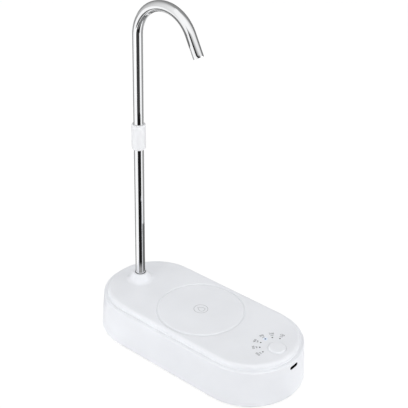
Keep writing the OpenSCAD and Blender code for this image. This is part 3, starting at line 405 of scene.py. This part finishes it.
boardLook = {
    "mask": (0.012, 0.14, 0.06), "lift": 1.3, "cloud": 90.0, "rough": (0.22, 0.34),
    "trace": (0.03, 0.22, 0.10), "pitch": 2.2, "length": 8.8, "width": 0.35, "soft": 0.2,
    "bump": 0.4, "depth": 0.03,
}


def makeBoard(spec):
    # solder mask with raised tracks: the joints of a brick pattern are the tracks
    material, tree, shader = startMaterial("board")
    tracks = addNode(tree, "ShaderNodeTexBrick", Scale=1.0, Mortar_Size=spec["width"] * mm,
                     Brick_Width=spec["length"] * mm, Row_Height=spec["pitch"] * mm,
                     Mortar_Smooth=spec["soft"])
    tree.links.new(coords(tree), tracks.inputs["Vector"])
    cloud = noise(tree, coords(tree), spec["cloud"])
    base = blendColour(tree, cloud, spec["mask"], toned(spec["mask"], spec["lift"]))
    tree.links.new(blendColour(tree, tracks.outputs["Fac"], base, spec["trace"]), shader.inputs["Base Color"])
    tree.links.new(remap(tree, cloud, *noiseSpan, *spec["rough"]), shader.inputs["Roughness"])
    addBump(tree, shader, tracks.outputs["Fac"], spec["bump"], spec["depth"])
    return material


# troughShade is painted shade in the troughs between the wire's turns
coilLook = {
    "copper": (0.62, 0.27, 0.11), "troughShade": (0.10, 0.035, 0.015), "wire": 0.45, "waver": 0.6,
    "cloud": 700.0, "rough": (0.2, 0.34), "bump": 0.6, "depth": 0.1, "metal": 0.6,
}
waveLength = 314.0  # of a wave texture at scale 1


def makeWinding(spec):
    # enamelled wire in turns: a wave along the axis gives each turn its round back in the relief, and paints
    # shade into the colour of the troughs between turns
    material, tree, shader = startMaterial("wound_core")
    turns = addNode(tree, "ShaderNodeTexWave", Scale=waveLength / spec["wire"],
                    Distortion=spec["waver"], Detail=1.0)
    tree.links.new(coords(tree), turns.inputs["Vector"])
    wire = turns.outputs["Fac"]
    tree.links.new(blendColour(tree, wire, spec["troughShade"], spec["copper"]), shader.inputs["Base Color"])
    cloud = noise(tree, coords(tree), spec["cloud"])
    tree.links.new(remap(tree, cloud, *noiseSpan, *spec["rough"]), shader.inputs["Roughness"])
    addBump(tree, shader, wire, spec["bump"], spec["depth"])
    shader.inputs["Metallic"].default_value = spec["metal"]
    return material


materials["board"] = makeBoard(boardLook)
materials["wound_core"] = makeWinding(coilLook)

for entry in frame["record"]["subparts"]:
    nodes[entry["node"]].data.materials.clear()
    nodes[entry["node"]].data.materials.append(materials[entry["material_slot"]])
print("finishes:", len(materials))


# base

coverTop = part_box("cup_pad")[1][2] / mm
tubeX = (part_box("lower_tube")[0][0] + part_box("lower_tube")[1][0]) / 2 / mm
buttonLow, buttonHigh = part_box("button_cap")
buttonX = (buttonLow[0] + buttonHigh[0]) / 2 / mm

lights = {
    "count": 6, "shift": 2.4, "arc": 11.3, "first": 104.5, "step": 30.2,
    "radius": 0.58, "litRadius": 0.68, "proud": 0.16, "sink": 0.05, "rings": 8, "steps": 32,
    "dark": (0.11, 0.112, 0.118), "lit": (0.008, 0.03, 0.085), "power": 0.15, "rough": (0.12, 0.2),
}
lightX = buttonX - lights["shift"]  # the lights' arc has its middle a little behind the button's


def lightAngle(index):
    # direction of a level light from the middle of their arc
    return math.radians(lights["first"] + lights["step"] * index)


def arcSpot(index, radius):
    # a place in line with a level light, at a radius from the middle of their arc
    return lightX + radius * math.cos(lightAngle(index)), radius * math.sin(lightAngle(index))


# painted glow round the lit lamp: a pale blue tint mixed into the cover's colour and an emission, fading out
# from start to reach
paintedGlow = {
    "light": 2, "colour": (0.72, 0.8, 0.92), "start": 0.5, "reach": 2.4, "share": 0.85,
    "beam": (0.15, 0.5, 1.0), "power": 0.16,
}


def makeCover(spec):
    # the shell's finish, with a painted glow round the lit lamp: a pale blue pool of light painted into the
    # plastic's colour and a faint emission
    material, tree, shader = makeFinish("cover_shell", finishes["white_shell"])
    x, y = arcSpot(spec["light"], lights["arc"])
    away = addNode(tree, "ShaderNodeVectorMath")
    away.operation = "DISTANCE"
    away.inputs[1].default_value = (x * mm, y * mm, coverTop * mm)
    tree.links.new(coords(tree), away.inputs[0])
    share = remap(tree, away.outputs["Value"], spec["start"] * mm, spec["reach"] * mm, spec["share"], 0.0)
    painted = shader.inputs["Base Color"].links[0].from_socket
    tree.links.new(blendColour(tree, share, painted, spec["colour"]), shader.inputs["Base Color"])
    shader.inputs["Emission Color"].default_value = (*spec["beam"], 1.0)
    tree.links.new(remap(tree, share, 0.0, 1.0, 0.0, spec["power"]), shader.inputs["Emission Strength"])
    return material


settle(smoothCopy("lower_housing", "housing_shell", rim), "base", "white_shell", "lower_housing")
settle(smoothCopy("top_cover", "cover_shell", rim), "base", "white_shell", "top_cover",
       finish=makeCover(paintedGlow))
settle(smoothCopy("inlet_nut", "inlet_hex_nut"), "base", "white_trim", "inlet_nut")
settle(smoothCopy("inlet_fitting", "inlet_nipple"), "base", "white_trim", "inlet_fitting")
print("base shells done")

pad = {
    "edge": 1.5, "drop": 0.5, "lip": 0.46, "seat": 0.78, "dish": 0.08, "chamfer": 0.2,
    "edgeSteps": 19, "topSteps": 24, "steps": 200,
}


def makePad(spec):
    # a disc whose top dips by dish (1 - (r / R)^2) to the middle, falls drop (1 - cos s) / 2 over its edge
    # and ends in a thin lip that lies in the moat
    low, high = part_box("cup_pad")
    radius, z0, z1 = high[0] / mm, low[2] / mm, high[2] / mm
    flat, brim, seat = radius - spec["edge"], radius + spec["lip"], z1 - spec["seat"]
    below = [[0, z0], [radius - spec["chamfer"], z0], [radius, z0 + spec["chamfer"]], [radius, seat],
             [brim, seat], [brim, z1 - spec["drop"]]]
    s = np.linspace(np.pi, 0, spec["edgeSteps"])
    side = np.stack([flat + spec["edge"] * s / np.pi, z1 - spec["drop"] * (1 - np.cos(s)) / 2], 1)
    r = np.linspace(flat, 0, spec["topSteps"])[1:]
    top = np.stack([r, z1 - spec["dish"] * (1 - (r / flat) ** 2)], 1)
    piece = revolve("cup_rest_disc", np.concatenate([below, side, top]), (0, 0), spec["steps"])
    settle(piece, "base", "white_shell", "cup_pad", finish=materials["pad"])


makePad(pad)

mark = {
    "ring": 5.6, "line": 0.45, "drop": 3.3, "plump": 1.15, "taper": 1.5, "thick": 0.03, "sink": 0.02,
    "steps": 96, "tone": (0.5, 0.51, 0.53), "rough": (0.4, 0.5),
}


def makeMark(spec):
    # a plain ring, and in it a drop: across = plump sin t sin(t / 2)^taper, along = cos t
    t = np.linspace(0, 2 * np.pi, spec["steps"], endpoint=False)
    z = coverTop - pad["dish"]
    ring = np.stack([np.cos(t), np.sin(t)], 1) * spec["ring"]
    across = spec["plump"] * np.sin(t) * np.abs(np.sin(t / 2)) ** spec["taper"]
    drop = np.stack([-np.cos(t), across], 1) * spec["drop"]
    ink = makeFinish("print", plastic(spec["tone"], rough=spec["rough"]))[0]
    for name, line in (("pad_ring_mark", ring), ("pad_drop_mark", drop)):
        piece = ribbon(name, line, spec["line"], z - spec["sink"], z + spec["thick"])
        settle(piece, "base", "white_trim", finish=ink)


makeMark(mark)

foot = {"edge": 0.35, "edgeSteps": 6, "groove": 0.25, "grooves": (0.38, 0.68), "narrow": 0.35, "steps": 72}


def makeFoot(node, spec):
    # a rubber disc with gripping grooves turned into its sole at shares of its radius, each narrowing upwards
    low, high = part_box(node)
    radius = (high[0] - low[0]) / 2 / mm
    centre = ((low[0] + high[0]) / 2 / mm, (low[1] + high[1]) / 2 / mm)
    z0, z1, e, g, k = low[2] / mm, high[2] / mm, spec["edge"], spec["groove"], spec["narrow"]
    sole = [[radius * share + s * g * wide, z0 + g * (1 - wide)]
            for share in spec["grooves"] for s, wide in ((-1, 1), (-1, k), (1, k), (1, 1))]
    edge = arcPoints((radius - e, z0 + e), e, -90, 0, spec["edgeSteps"])
    profile = np.concatenate([[[0, z0]], sole, edge, [[radius, z1], [0, z1]]])
    settle(revolve(node + "_disc", profile, centre, spec["steps"]), "base", "foot_rubber", node)


for node in sorted(n for n in nodes if n.startswith("foot_")):
    makeFoot(node, foot)
print("pad and feet done")


# spout

tube = {"wall": 0.6, "lip": 0.14, "steps": 72, "rows": 12}
bend = {"radius": 27.0, "angle": 153.0, "stub": 17.0, "riseRows": 16, "bendRows": 90, "stubRows": 9}
skyward = [0.0, 0.0, 1.0]


def axisPoints(low, high, count):
    # points up the axis of the spout's straight part
    return np.stack([np.full(count, tubeX), np.zeros(count), np.linspace(low, high, count)], 1)


def makeTubes(spec, curve):
    # the lower tube is straight; the upper one runs up, round an arc towards +X and down a short straight
    low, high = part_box("lower_tube")
    outer = (high[0] - low[0]) / 2 / mm
    bore = outer - spec["wall"]
    path = axisPoints(low[2] / mm, high[2] / mm, spec["rows"])
    ahead = np.tile(skyward, (len(path), 1))
    piece = pipe("spout_lower_pipe", path, ahead, outer, bore, spec["lip"], spec["steps"])
    settle(piece, "lower_spout", "spout_steel", "lower_tube")
    low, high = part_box("upper_tube")
    bendZ = high[2] / mm - curve["radius"] - outer
    rise = axisPoints(low[2] / mm, bendZ, curve["riseRows"])[:-1]
    turn = np.radians(np.linspace(0, curve["angle"], curve["bendRows"]))
    x = tubeX + curve["radius"] * (1 - np.cos(turn))
    z = bendZ + curve["radius"] * np.sin(turn)
    arc = np.stack([x, 0 * turn, z], 1)
    tangent = np.stack([np.sin(turn), 0 * turn, np.cos(turn)], 1)
    stub = np.linspace(0, curve["stub"], curve["stubRows"])[1:, None] * tangent[-1]
    path = np.concatenate([rise, arc, arc[-1] + stub])
    ahead = np.concatenate([np.tile(skyward, (len(rise), 1)), tangent, np.tile(tangent[-1], (len(stub), 1))])
    piece = pipe("spout_gooseneck", path, ahead, outer, bore, spec["lip"], spec["steps"])
    settle(piece, "upper_spout", "spout_steel", "upper_tube")


# a black ring at the tube's foot: painted contact shadow where the tube meets the boss
wiperShadow = {
    "clear": 0.03, "width": 0.5, "edgeSteps": 9, "steps": 72,
    "low": 42.0, "high": 42.55,  # heights above the table
}


def makeWiper(spec):
    # a thin rubber lip on the boss round the tube: a rounded ring, black as painted shadow where the tube
    # meets the boss
    low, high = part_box("lower_tube")
    inner = (high[0] - low[0]) / 2 / mm + spec["clear"]
    e = spec["width"] / 2
    crown = arcPoints((inner + e, spec["high"] - e), e, 180, 0, spec["edgeSteps"])
    profile = np.concatenate([[[inner + 2 * e, spec["low"]], [inner, spec["low"]]], crown])
    settle(revolve("spout_wiper_shadow", profile, (tubeX, 0), spec["steps"], closed=True), "base", "black_rubber")


makeWiper(wiperShadow)
makeTubes(tube, bend)
settle(smoothCopy("tube_connector", "spout_sleeve"), "lower_spout", "white_trim", "tube_connector")
print("spout done")


# button, lights and their numbers

button = {
    "radius": 7.1, "crown": 1.0, "reach": 1.2, "dome": 0.1, "roof": 1.6, "wall": 1.2, "flange": 0.8,
    "edgeSteps": 15, "topSteps": 26, "steps": 120,
}


def makeButton(spec):
    # a cap turned from its flange, side, an edge that rises by crown (1 + cos s) / 2 over its reach and a top
    # that rises by dome cos r to the middle, hollow below
    z0, z1 = buttonLow[2] / mm, buttonHigh[2] / mm
    flange, radius = (buttonHigh[0] - buttonLow[0]) / 2 / mm, spec["radius"]
    inner, roof, step = radius - spec["wall"], z1 - spec["roof"], z0 + spec["flange"]
    below = [[0, roof], [inner, roof], [inner, z0], [flange, z0], [flange, step], [radius, step]]
    s = np.linspace(np.pi, 0, spec["edgeSteps"])
    flat, low = radius - spec["reach"], z1 - spec["dome"] - spec["crown"]
    edge = np.stack([flat + spec["reach"] * s / np.pi, low + spec["crown"] * (1 + np.cos(s)) / 2], 1)
    r = np.linspace(flat, 0, spec["topSteps"])[1:]
    top = np.stack([r, z1 - spec["dome"] * (1 - np.cos(r / flat * np.pi / 2))], 1)
    piece = revolve("start_button", np.concatenate([below, edge, top]), (buttonX, 0), spec["steps"])
    settle(piece, "button", "white_shell", "button_cap")


makeButton(button)


def makeLens(index, spec):
    # a low dome over the end of the light guide: height proud sqrt(1 - (r / R)^2)
    lit = index == paintedGlow["light"]
    radius, tone = (spec["litRadius"], spec["lit"]) if lit else (spec["radius"], spec["dark"])
    t = np.linspace(0, np.pi / 2, spec["rings"])
    dome = np.stack([radius * np.cos(t), coverTop + spec["proud"] * np.sin(t)], 1)
    profile = np.concatenate([[[0, coverTop - spec["sink"]]], dome])
    name = "lens_lit" if lit else f"lens_{index}"
    finish, _, shader = makeFinish(name, plastic(tone, rough=spec["rough"]))
    if lit:
        shader.inputs["Emission Color"].default_value = (*tone, 1.0)
        shader.inputs["Emission Strength"].default_value = spec["power"]
    piece = revolve(f"level_lens_{index + 1}", profile, arcSpot(index, spec["arc"]), spec["steps"])
    settle(piece, "base", "light_pipe", finish=finish)


for index in range(lights["count"]):
    makeLens(index, lights)

label = {
    "outer": 16.1, "inner": 13.9, "size": 2.7, "unitSize": 2.4, "thick": 0.02, "curveSteps": 4, "step": 100,
    "tone": (0.09, 0.092, 0.098), "rough": (0.42, 0.52),
}
labelInk = makeFinish("level_ink", plastic(label["tone"], rough=label["rough"]))[0]


def makeLabel(name, words, index, radius, size):
    # letters laid flat on the cover with their heads away from the button
    curve = bpy.data.curves.new(name, "FONT")
    curve.body, curve.size, curve.extrude = words, size * mm, label["thick"] * mm / 2
    curve.align_x, curve.align_y = "CENTER", "CENTER"
    curve.resolution_u = label["curveSteps"]
    writer = addObject(name, curve)
    bpy.context.view_layer.update()
    mesh = bpy.data.meshes.new_from_object(writer.evaluated_get(bpy.context.evaluated_depsgraph_get()))
    bpy.data.objects.remove(writer)
    bpy.data.curves.remove(curve)
    x, y = arcSpot(index, radius)
    c, s = math.cos(lightAngle(index)), math.sin(lightAngle(index))
    place = Matrix(((s, c, 0, x * mm), (-c, s, 0, y * mm),
                    (0, 0, 1, (coverTop + label["thick"]) * mm), (0, 0, 0, 1)))
    mesh.transform(place)
    mesh.name = name
    settle(addObject(name, mesh), "base", "black_plastic", finish=labelInk)


for index in range(lights["count"]):
    amount = label["step"] * (index + 1)
    makeLabel(f"level_number_{index + 1}", str(amount), index, label["outer"], label["size"])
    makeLabel(f"level_unit_{index + 1}", "ml", index, label["inner"], label["unitSize"])
print("button, lights and numbers done")


# charging port

contacts = {
    "count": 12, "pitch": 0.5, "width": 0.26, "length": 3.2, "thick": 0.04, "tongue": 0.7, "setback": 1.6,
    "gold": (0.78, 0.56, 0.2), "rough": (0.16, 0.28),
}


def makeContacts(spec):
    # flat strips side by side on both faces of the port's tongue, each a unit box stretched and moved
    low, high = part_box("usb_tongue")
    back, middle = high[0] / mm - spec["setback"] - spec["length"], (low[2] + high[2]) / 2 / mm
    square = np.array([[0, 0], [1, 0], [1, 1], [0, 1]])
    box = np.concatenate([np.column_stack([square, np.full(4, level)]) for level in (0.0, 1.0)])
    side = np.array([[0, 3, 2, 1], [4, 5, 6, 7], [0, 1, 5, 4], [1, 2, 6, 5], [2, 3, 7, 6], [3, 0, 4, 7]])
    y = (np.arange(spec["count"]) - (spec["count"] - 1) / 2) * spec["pitch"] - spec["width"] / 2
    upper, lower = middle + spec["tongue"] / 2, middle - spec["tongue"] / 2 - spec["thick"]
    starts = np.concatenate([np.stack([0 * y + back, y, 0 * y + z], 1) for z in (upper, lower)])
    points = (starts[:, None] + box * [spec["length"], spec["width"], spec["thick"]]).reshape(-1, 3)
    faces = (np.arange(len(starts))[:, None, None] * len(box) + side).reshape(-1, 4)
    gold = makeFinish("contact_gold", metal(spec["gold"], spec["rough"]))[0]
    settle(putMesh("port_contacts", points, faces), "base", "screw_steel", finish=gold)


makeContacts(contacts)

# a dark sleeve that paints shade on the walls of the port's opening
portShadeLiner = {
    "width": 9.16, "height": 3.06, "wall": 0.1, "steps": 24,
    "front": 92.05, "depth": 0.75,  # front is the x just under the curved wall
}


def makeLiner(spec):
    # a thin dark sleeve in the port's mouth, painted shade over the walls of the opening: four rows round a
    # slot, y = side + r cos t, z = middle + r sin t
    low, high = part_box("usb_shell")
    middle = (low[2] + high[2]) / 2 / mm
    t = np.radians(np.concatenate([np.linspace(-90, 90, spec["steps"]), np.linspace(90, 270, spec["steps"])]))
    side = np.repeat([1, -1], spec["steps"]) * (spec["width"] - spec["height"]) / 2
    outer, inner = spec["height"] / 2, spec["height"] / 2 - spec["wall"]
    front, back = spec["front"], spec["front"] - spec["depth"]
    rows = [np.stack([0 * t + x, side + r * np.cos(t), middle + r * np.sin(t)], 1)
            for r, x in ((outer, back), (outer, front), (inner, front), (inner, back))]
    piece = putMesh("port_shade_liner", np.concatenate(rows), gridFaces(len(rows), len(t), wrapRows=True))
    settle(piece, "base", "port_metal")


makeLiner(portShadeLiner)
print("port done")


# studio

studio = {
    "ambient": 0.7, "floor": (0.86, 0.86, 0.87), "floorGlow": 0.78, "white": 1.09,
    "floorHalf": 4000.0, "floorDrop": 0.05,
}


def lightPathShare(tree, share):
    # share for camera, glossy and transmitted rays, nothing for the rest
    path = tree.nodes.new("ShaderNodeLightPath")
    highest = path.outputs["Is Camera Ray"]
    for key in ("Is Glossy Ray", "Is Transmission Ray"):
        pick = tree.nodes.new("ShaderNodeMath")
        pick.operation = "MAXIMUM"
        tree.links.new(highest, pick.inputs[0])
        tree.links.new(path.outputs[key], pick.inputs[1])
        highest = pick.outputs[0]
    return remap(tree, highest, 0.0, 1.0, 0.0, share)


def makeWorld(spec):
    # ambient light for the object, and plain white where the background is seen
    world = bpy.data.worlds.new("studio")
    scene.world = world
    world.use_nodes = True
    tree = world.node_tree
    tree.nodes.clear()
    out = tree.nodes.new("ShaderNodeOutputWorld")
    soft = addNode(tree, "ShaderNodeBackground", Color=white, Strength=spec["ambient"]).outputs[0]
    seen = addNode(tree, "ShaderNodeBackground", Color=white, Strength=1.0).outputs[0]
    tree.links.new(blendShaders(tree, lightPathShare(tree, 1.0), soft, seen), out.inputs["Surface"])


def makeFloor(spec):
    # a wide square that glows for most of its brightness, so that it shows white and keeps a faint shadow
    h, z = spec["floorHalf"] * mm, -spec["floorDrop"] * mm
    mesh = bpy.data.meshes.new("floor")
    mesh.from_pydata([(-h, -h, z), (h, -h, z), (h, h, z), (-h, h, z)], [], [(0, 1, 2, 3)])
    material, tree, surface = blankMaterial("floor")
    matt = addNode(tree, "ShaderNodeBsdfDiffuse", Color=(*spec["floor"], 1.0)).outputs[0]
    bright = addNode(tree, "ShaderNodeEmission", Color=white, Strength=spec["white"]).outputs[0]
    tree.links.new(blendShaders(tree, lightPathShare(tree, spec["floorGlow"]), matt, bright), surface)
    mesh.materials.append(material)
    addObject("floor", mesh)


lamps = {
    "front": {"place": (0, -800, 120), "size": 400, "power": 1.8, "shines": False},
    "right": {"place": (1300, 720, 220), "size": 800, "power": 7.4, "shines": True},
    "over": {"place": (150, -350, 1500), "size": 1100, "power": 5.0, "shines": False},
    "rear": {"place": (-1000, -150, 900), "size": 900, "power": 0.8, "shines": False},
}
lampAim = (0, 0, 80)


def makeLamps(spec):
    # round soft lamps turned to one point; those that don't shine stay out of reflections
    for name, one in spec.items():
        data = bpy.data.lights.new(name, "AREA")
        data.shape, data.size, data.energy = "DISK", one["size"] * mm, one["power"]
        lamp = addObject(name, data)
        lamp.location = Vector(one["place"]) * mm
        lamp.rotation_mode = "QUATERNION"
        lamp.rotation_quaternion = (Vector(lampAim) * mm - lamp.location).to_track_quat("-Z", "Y")
        lamp.visible_camera = False
        lamp.visible_glossy = one["shines"]


cards = {
    "lid_near": {"arc": (-28, 46), "reach": (12, 21), "height": 36.6, "shade": 0.3},
    "lid_fade": {"arc": (-28, 46), "reach": (21, 31), "height": 36.6, "shade": ((0.3, 0.3), (0.012, 0.012))},
    "lid_front": {"arc": (-28, 46), "reach": (31, 140), "height": 36.6, "shade": 0.012},
    "lid_side": {"arc": (62, 150), "reach": (12, 95), "height": 36.5, "shade": 0.14},
    "lid_rear_a": {"arc": (150, 168), "reach": (12, 60), "height": 36.5, "shade": 0.9},
    "lid_rear_b": {"arc": (168, 192), "reach": (12, 60), "height": 36.5, "shade": 0.03},
    "lid_rear_c": {"arc": (192, 210), "reach": (12, 60), "height": 36.5, "shade": 0.9},
    "lid_back": {"arc": (210, 262), "reach": (12, 60), "height": 36.5, "shade": 0.33},
    "floor_front": {"arc": (-28, 46), "reach": (50, 430), "height": 0.3, "shade": 0.012},
    "floor_far": {"arc": (-30, 38), "reach": (430, 1600), "height": 0.3, "shade": 0.05},
    "floor_side": {"arc": (80, 150), "reach": (30, 2500), "height": 0.2, "shade": 0.33},
    "floor_rear_a": {"arc": (150, 168), "reach": (30, 2500), "height": 0.2, "shade": 0.9},
    "floor_rear_b": {"arc": (168, 192), "reach": (30, 2500), "height": 0.2, "shade": 0.03},
    "floor_rear_c": {"arc": (192, 210), "reach": (30, 2500), "height": 0.2, "shade": 0.9},
    "floor_back": {"arc": (210, 260), "reach": (30, 2500), "height": 0.2, "shade": 0.33},
    "dome_back": {"arc": (90, 200), "reach": (2500, 300), "height": (0.2, 2500),
                  "shade": ((0.16, 0.16), (0.36, 0.36))},
    "dome_left": {"arc": (200, 300), "reach": (2500, 300), "height": (0.2, 2500),
                  "shade": ((0.16, 0.95), (0.36, 0.95))},
    "dome_right": {"arc": (30, 90), "reach": (2500, 300), "height": (0.2, 2500),
                   "shade": ((1.0, 1.0), (1.0, 0.5))},
    "outlet_low": {"arc": (-30, 44), "reach": 400, "height": (258, 326), "shade": 0.015},
    "outlet_high": {"arc": (-30, 44), "reach": 400, "height": (326, 430),
                    "shade": ((0.015, 0.015), (1.0, 1.0))},
    "arch_under": {"arc": (-10, 120), "reach": (12, 46), "height": 249, "shade": ((0.16, 0.5), (0.16, 0.16))},
    "arch_front": {"arc": (-48, -10), "reach": (16, 60), "height": 249, "shade": ((0.1, 0.1), (0.6, 0.6))},
}
cardHeading = -45.972  # angle about Z from which the cards' arcs are counted
cardSteps = 24
cardFacing = (0, 0, 1000)  # the point that every card turns its shaded side to


def makeCards(spec):
    # studio cards round the spout, a ring sector each, flat or upright, shaded from corner to corner
    # (near or low edge first, each from its first to its last angle), that only polished surfaces see
    for name, one in spec.items():
        a = np.radians(cardHeading + np.linspace(*one["arc"], cardSteps))
        r, z = (np.broadcast_to(one[key], 2)[:, None] for key in ("reach", "height"))
        points = np.stack([tubeX + r * np.cos(a), r * np.sin(a), z + 0 * a], -1).reshape(-1, 3)
        mesh = bpy.data.meshes.new("card_" + name)
        mesh.from_pydata((points * mm).tolist(), [], gridFaces(2, cardSteps, wrapCols=False).tolist())
        mesh.update()
        face = mesh.polygons[len(mesh.polygons) // 2]
        if face.normal.dot(Vector(cardFacing) * mm - face.center) < 0:
            mesh.flip_normals()
        corner, s = np.broadcast_to(one["shade"], (2, 2)), np.linspace(0, 1, cardSteps)
        level = corner[:, :1] * (1 - s) + corner[:, 1:] * s
        layer = mesh.attributes.new("shade", "FLOAT", "POINT")
        layer.data.foreach_set("value", level.astype(np.float32).ravel())
        material, tree, surface = blankMaterial("card_" + name)
        shade = tree.nodes.new("ShaderNodeAttribute")
        shade.attribute_name = "shade"
        dark = addNode(tree, "ShaderNodeEmission", Color=white)
        tree.links.new(shade.outputs["Fac"], dark.inputs["Strength"])
        through = tree.nodes.new("ShaderNodeBsdfTransparent")
        behind = tree.nodes.new("ShaderNodeNewGeometry").outputs["Backfacing"]
        tree.links.new(blendShaders(tree, behind, dark.outputs[0], through.outputs[0]), surface)
        mesh.materials.append(material)
        card = addObject("card_" + name, mesh)
        card.visible_camera = card.visible_diffuse = card.visible_shadow = card.visible_transmission = False


makeWorld(studio)
makeFloor(studio)
makeLamps(lamps)
makeCards(cards)
print("studio done")
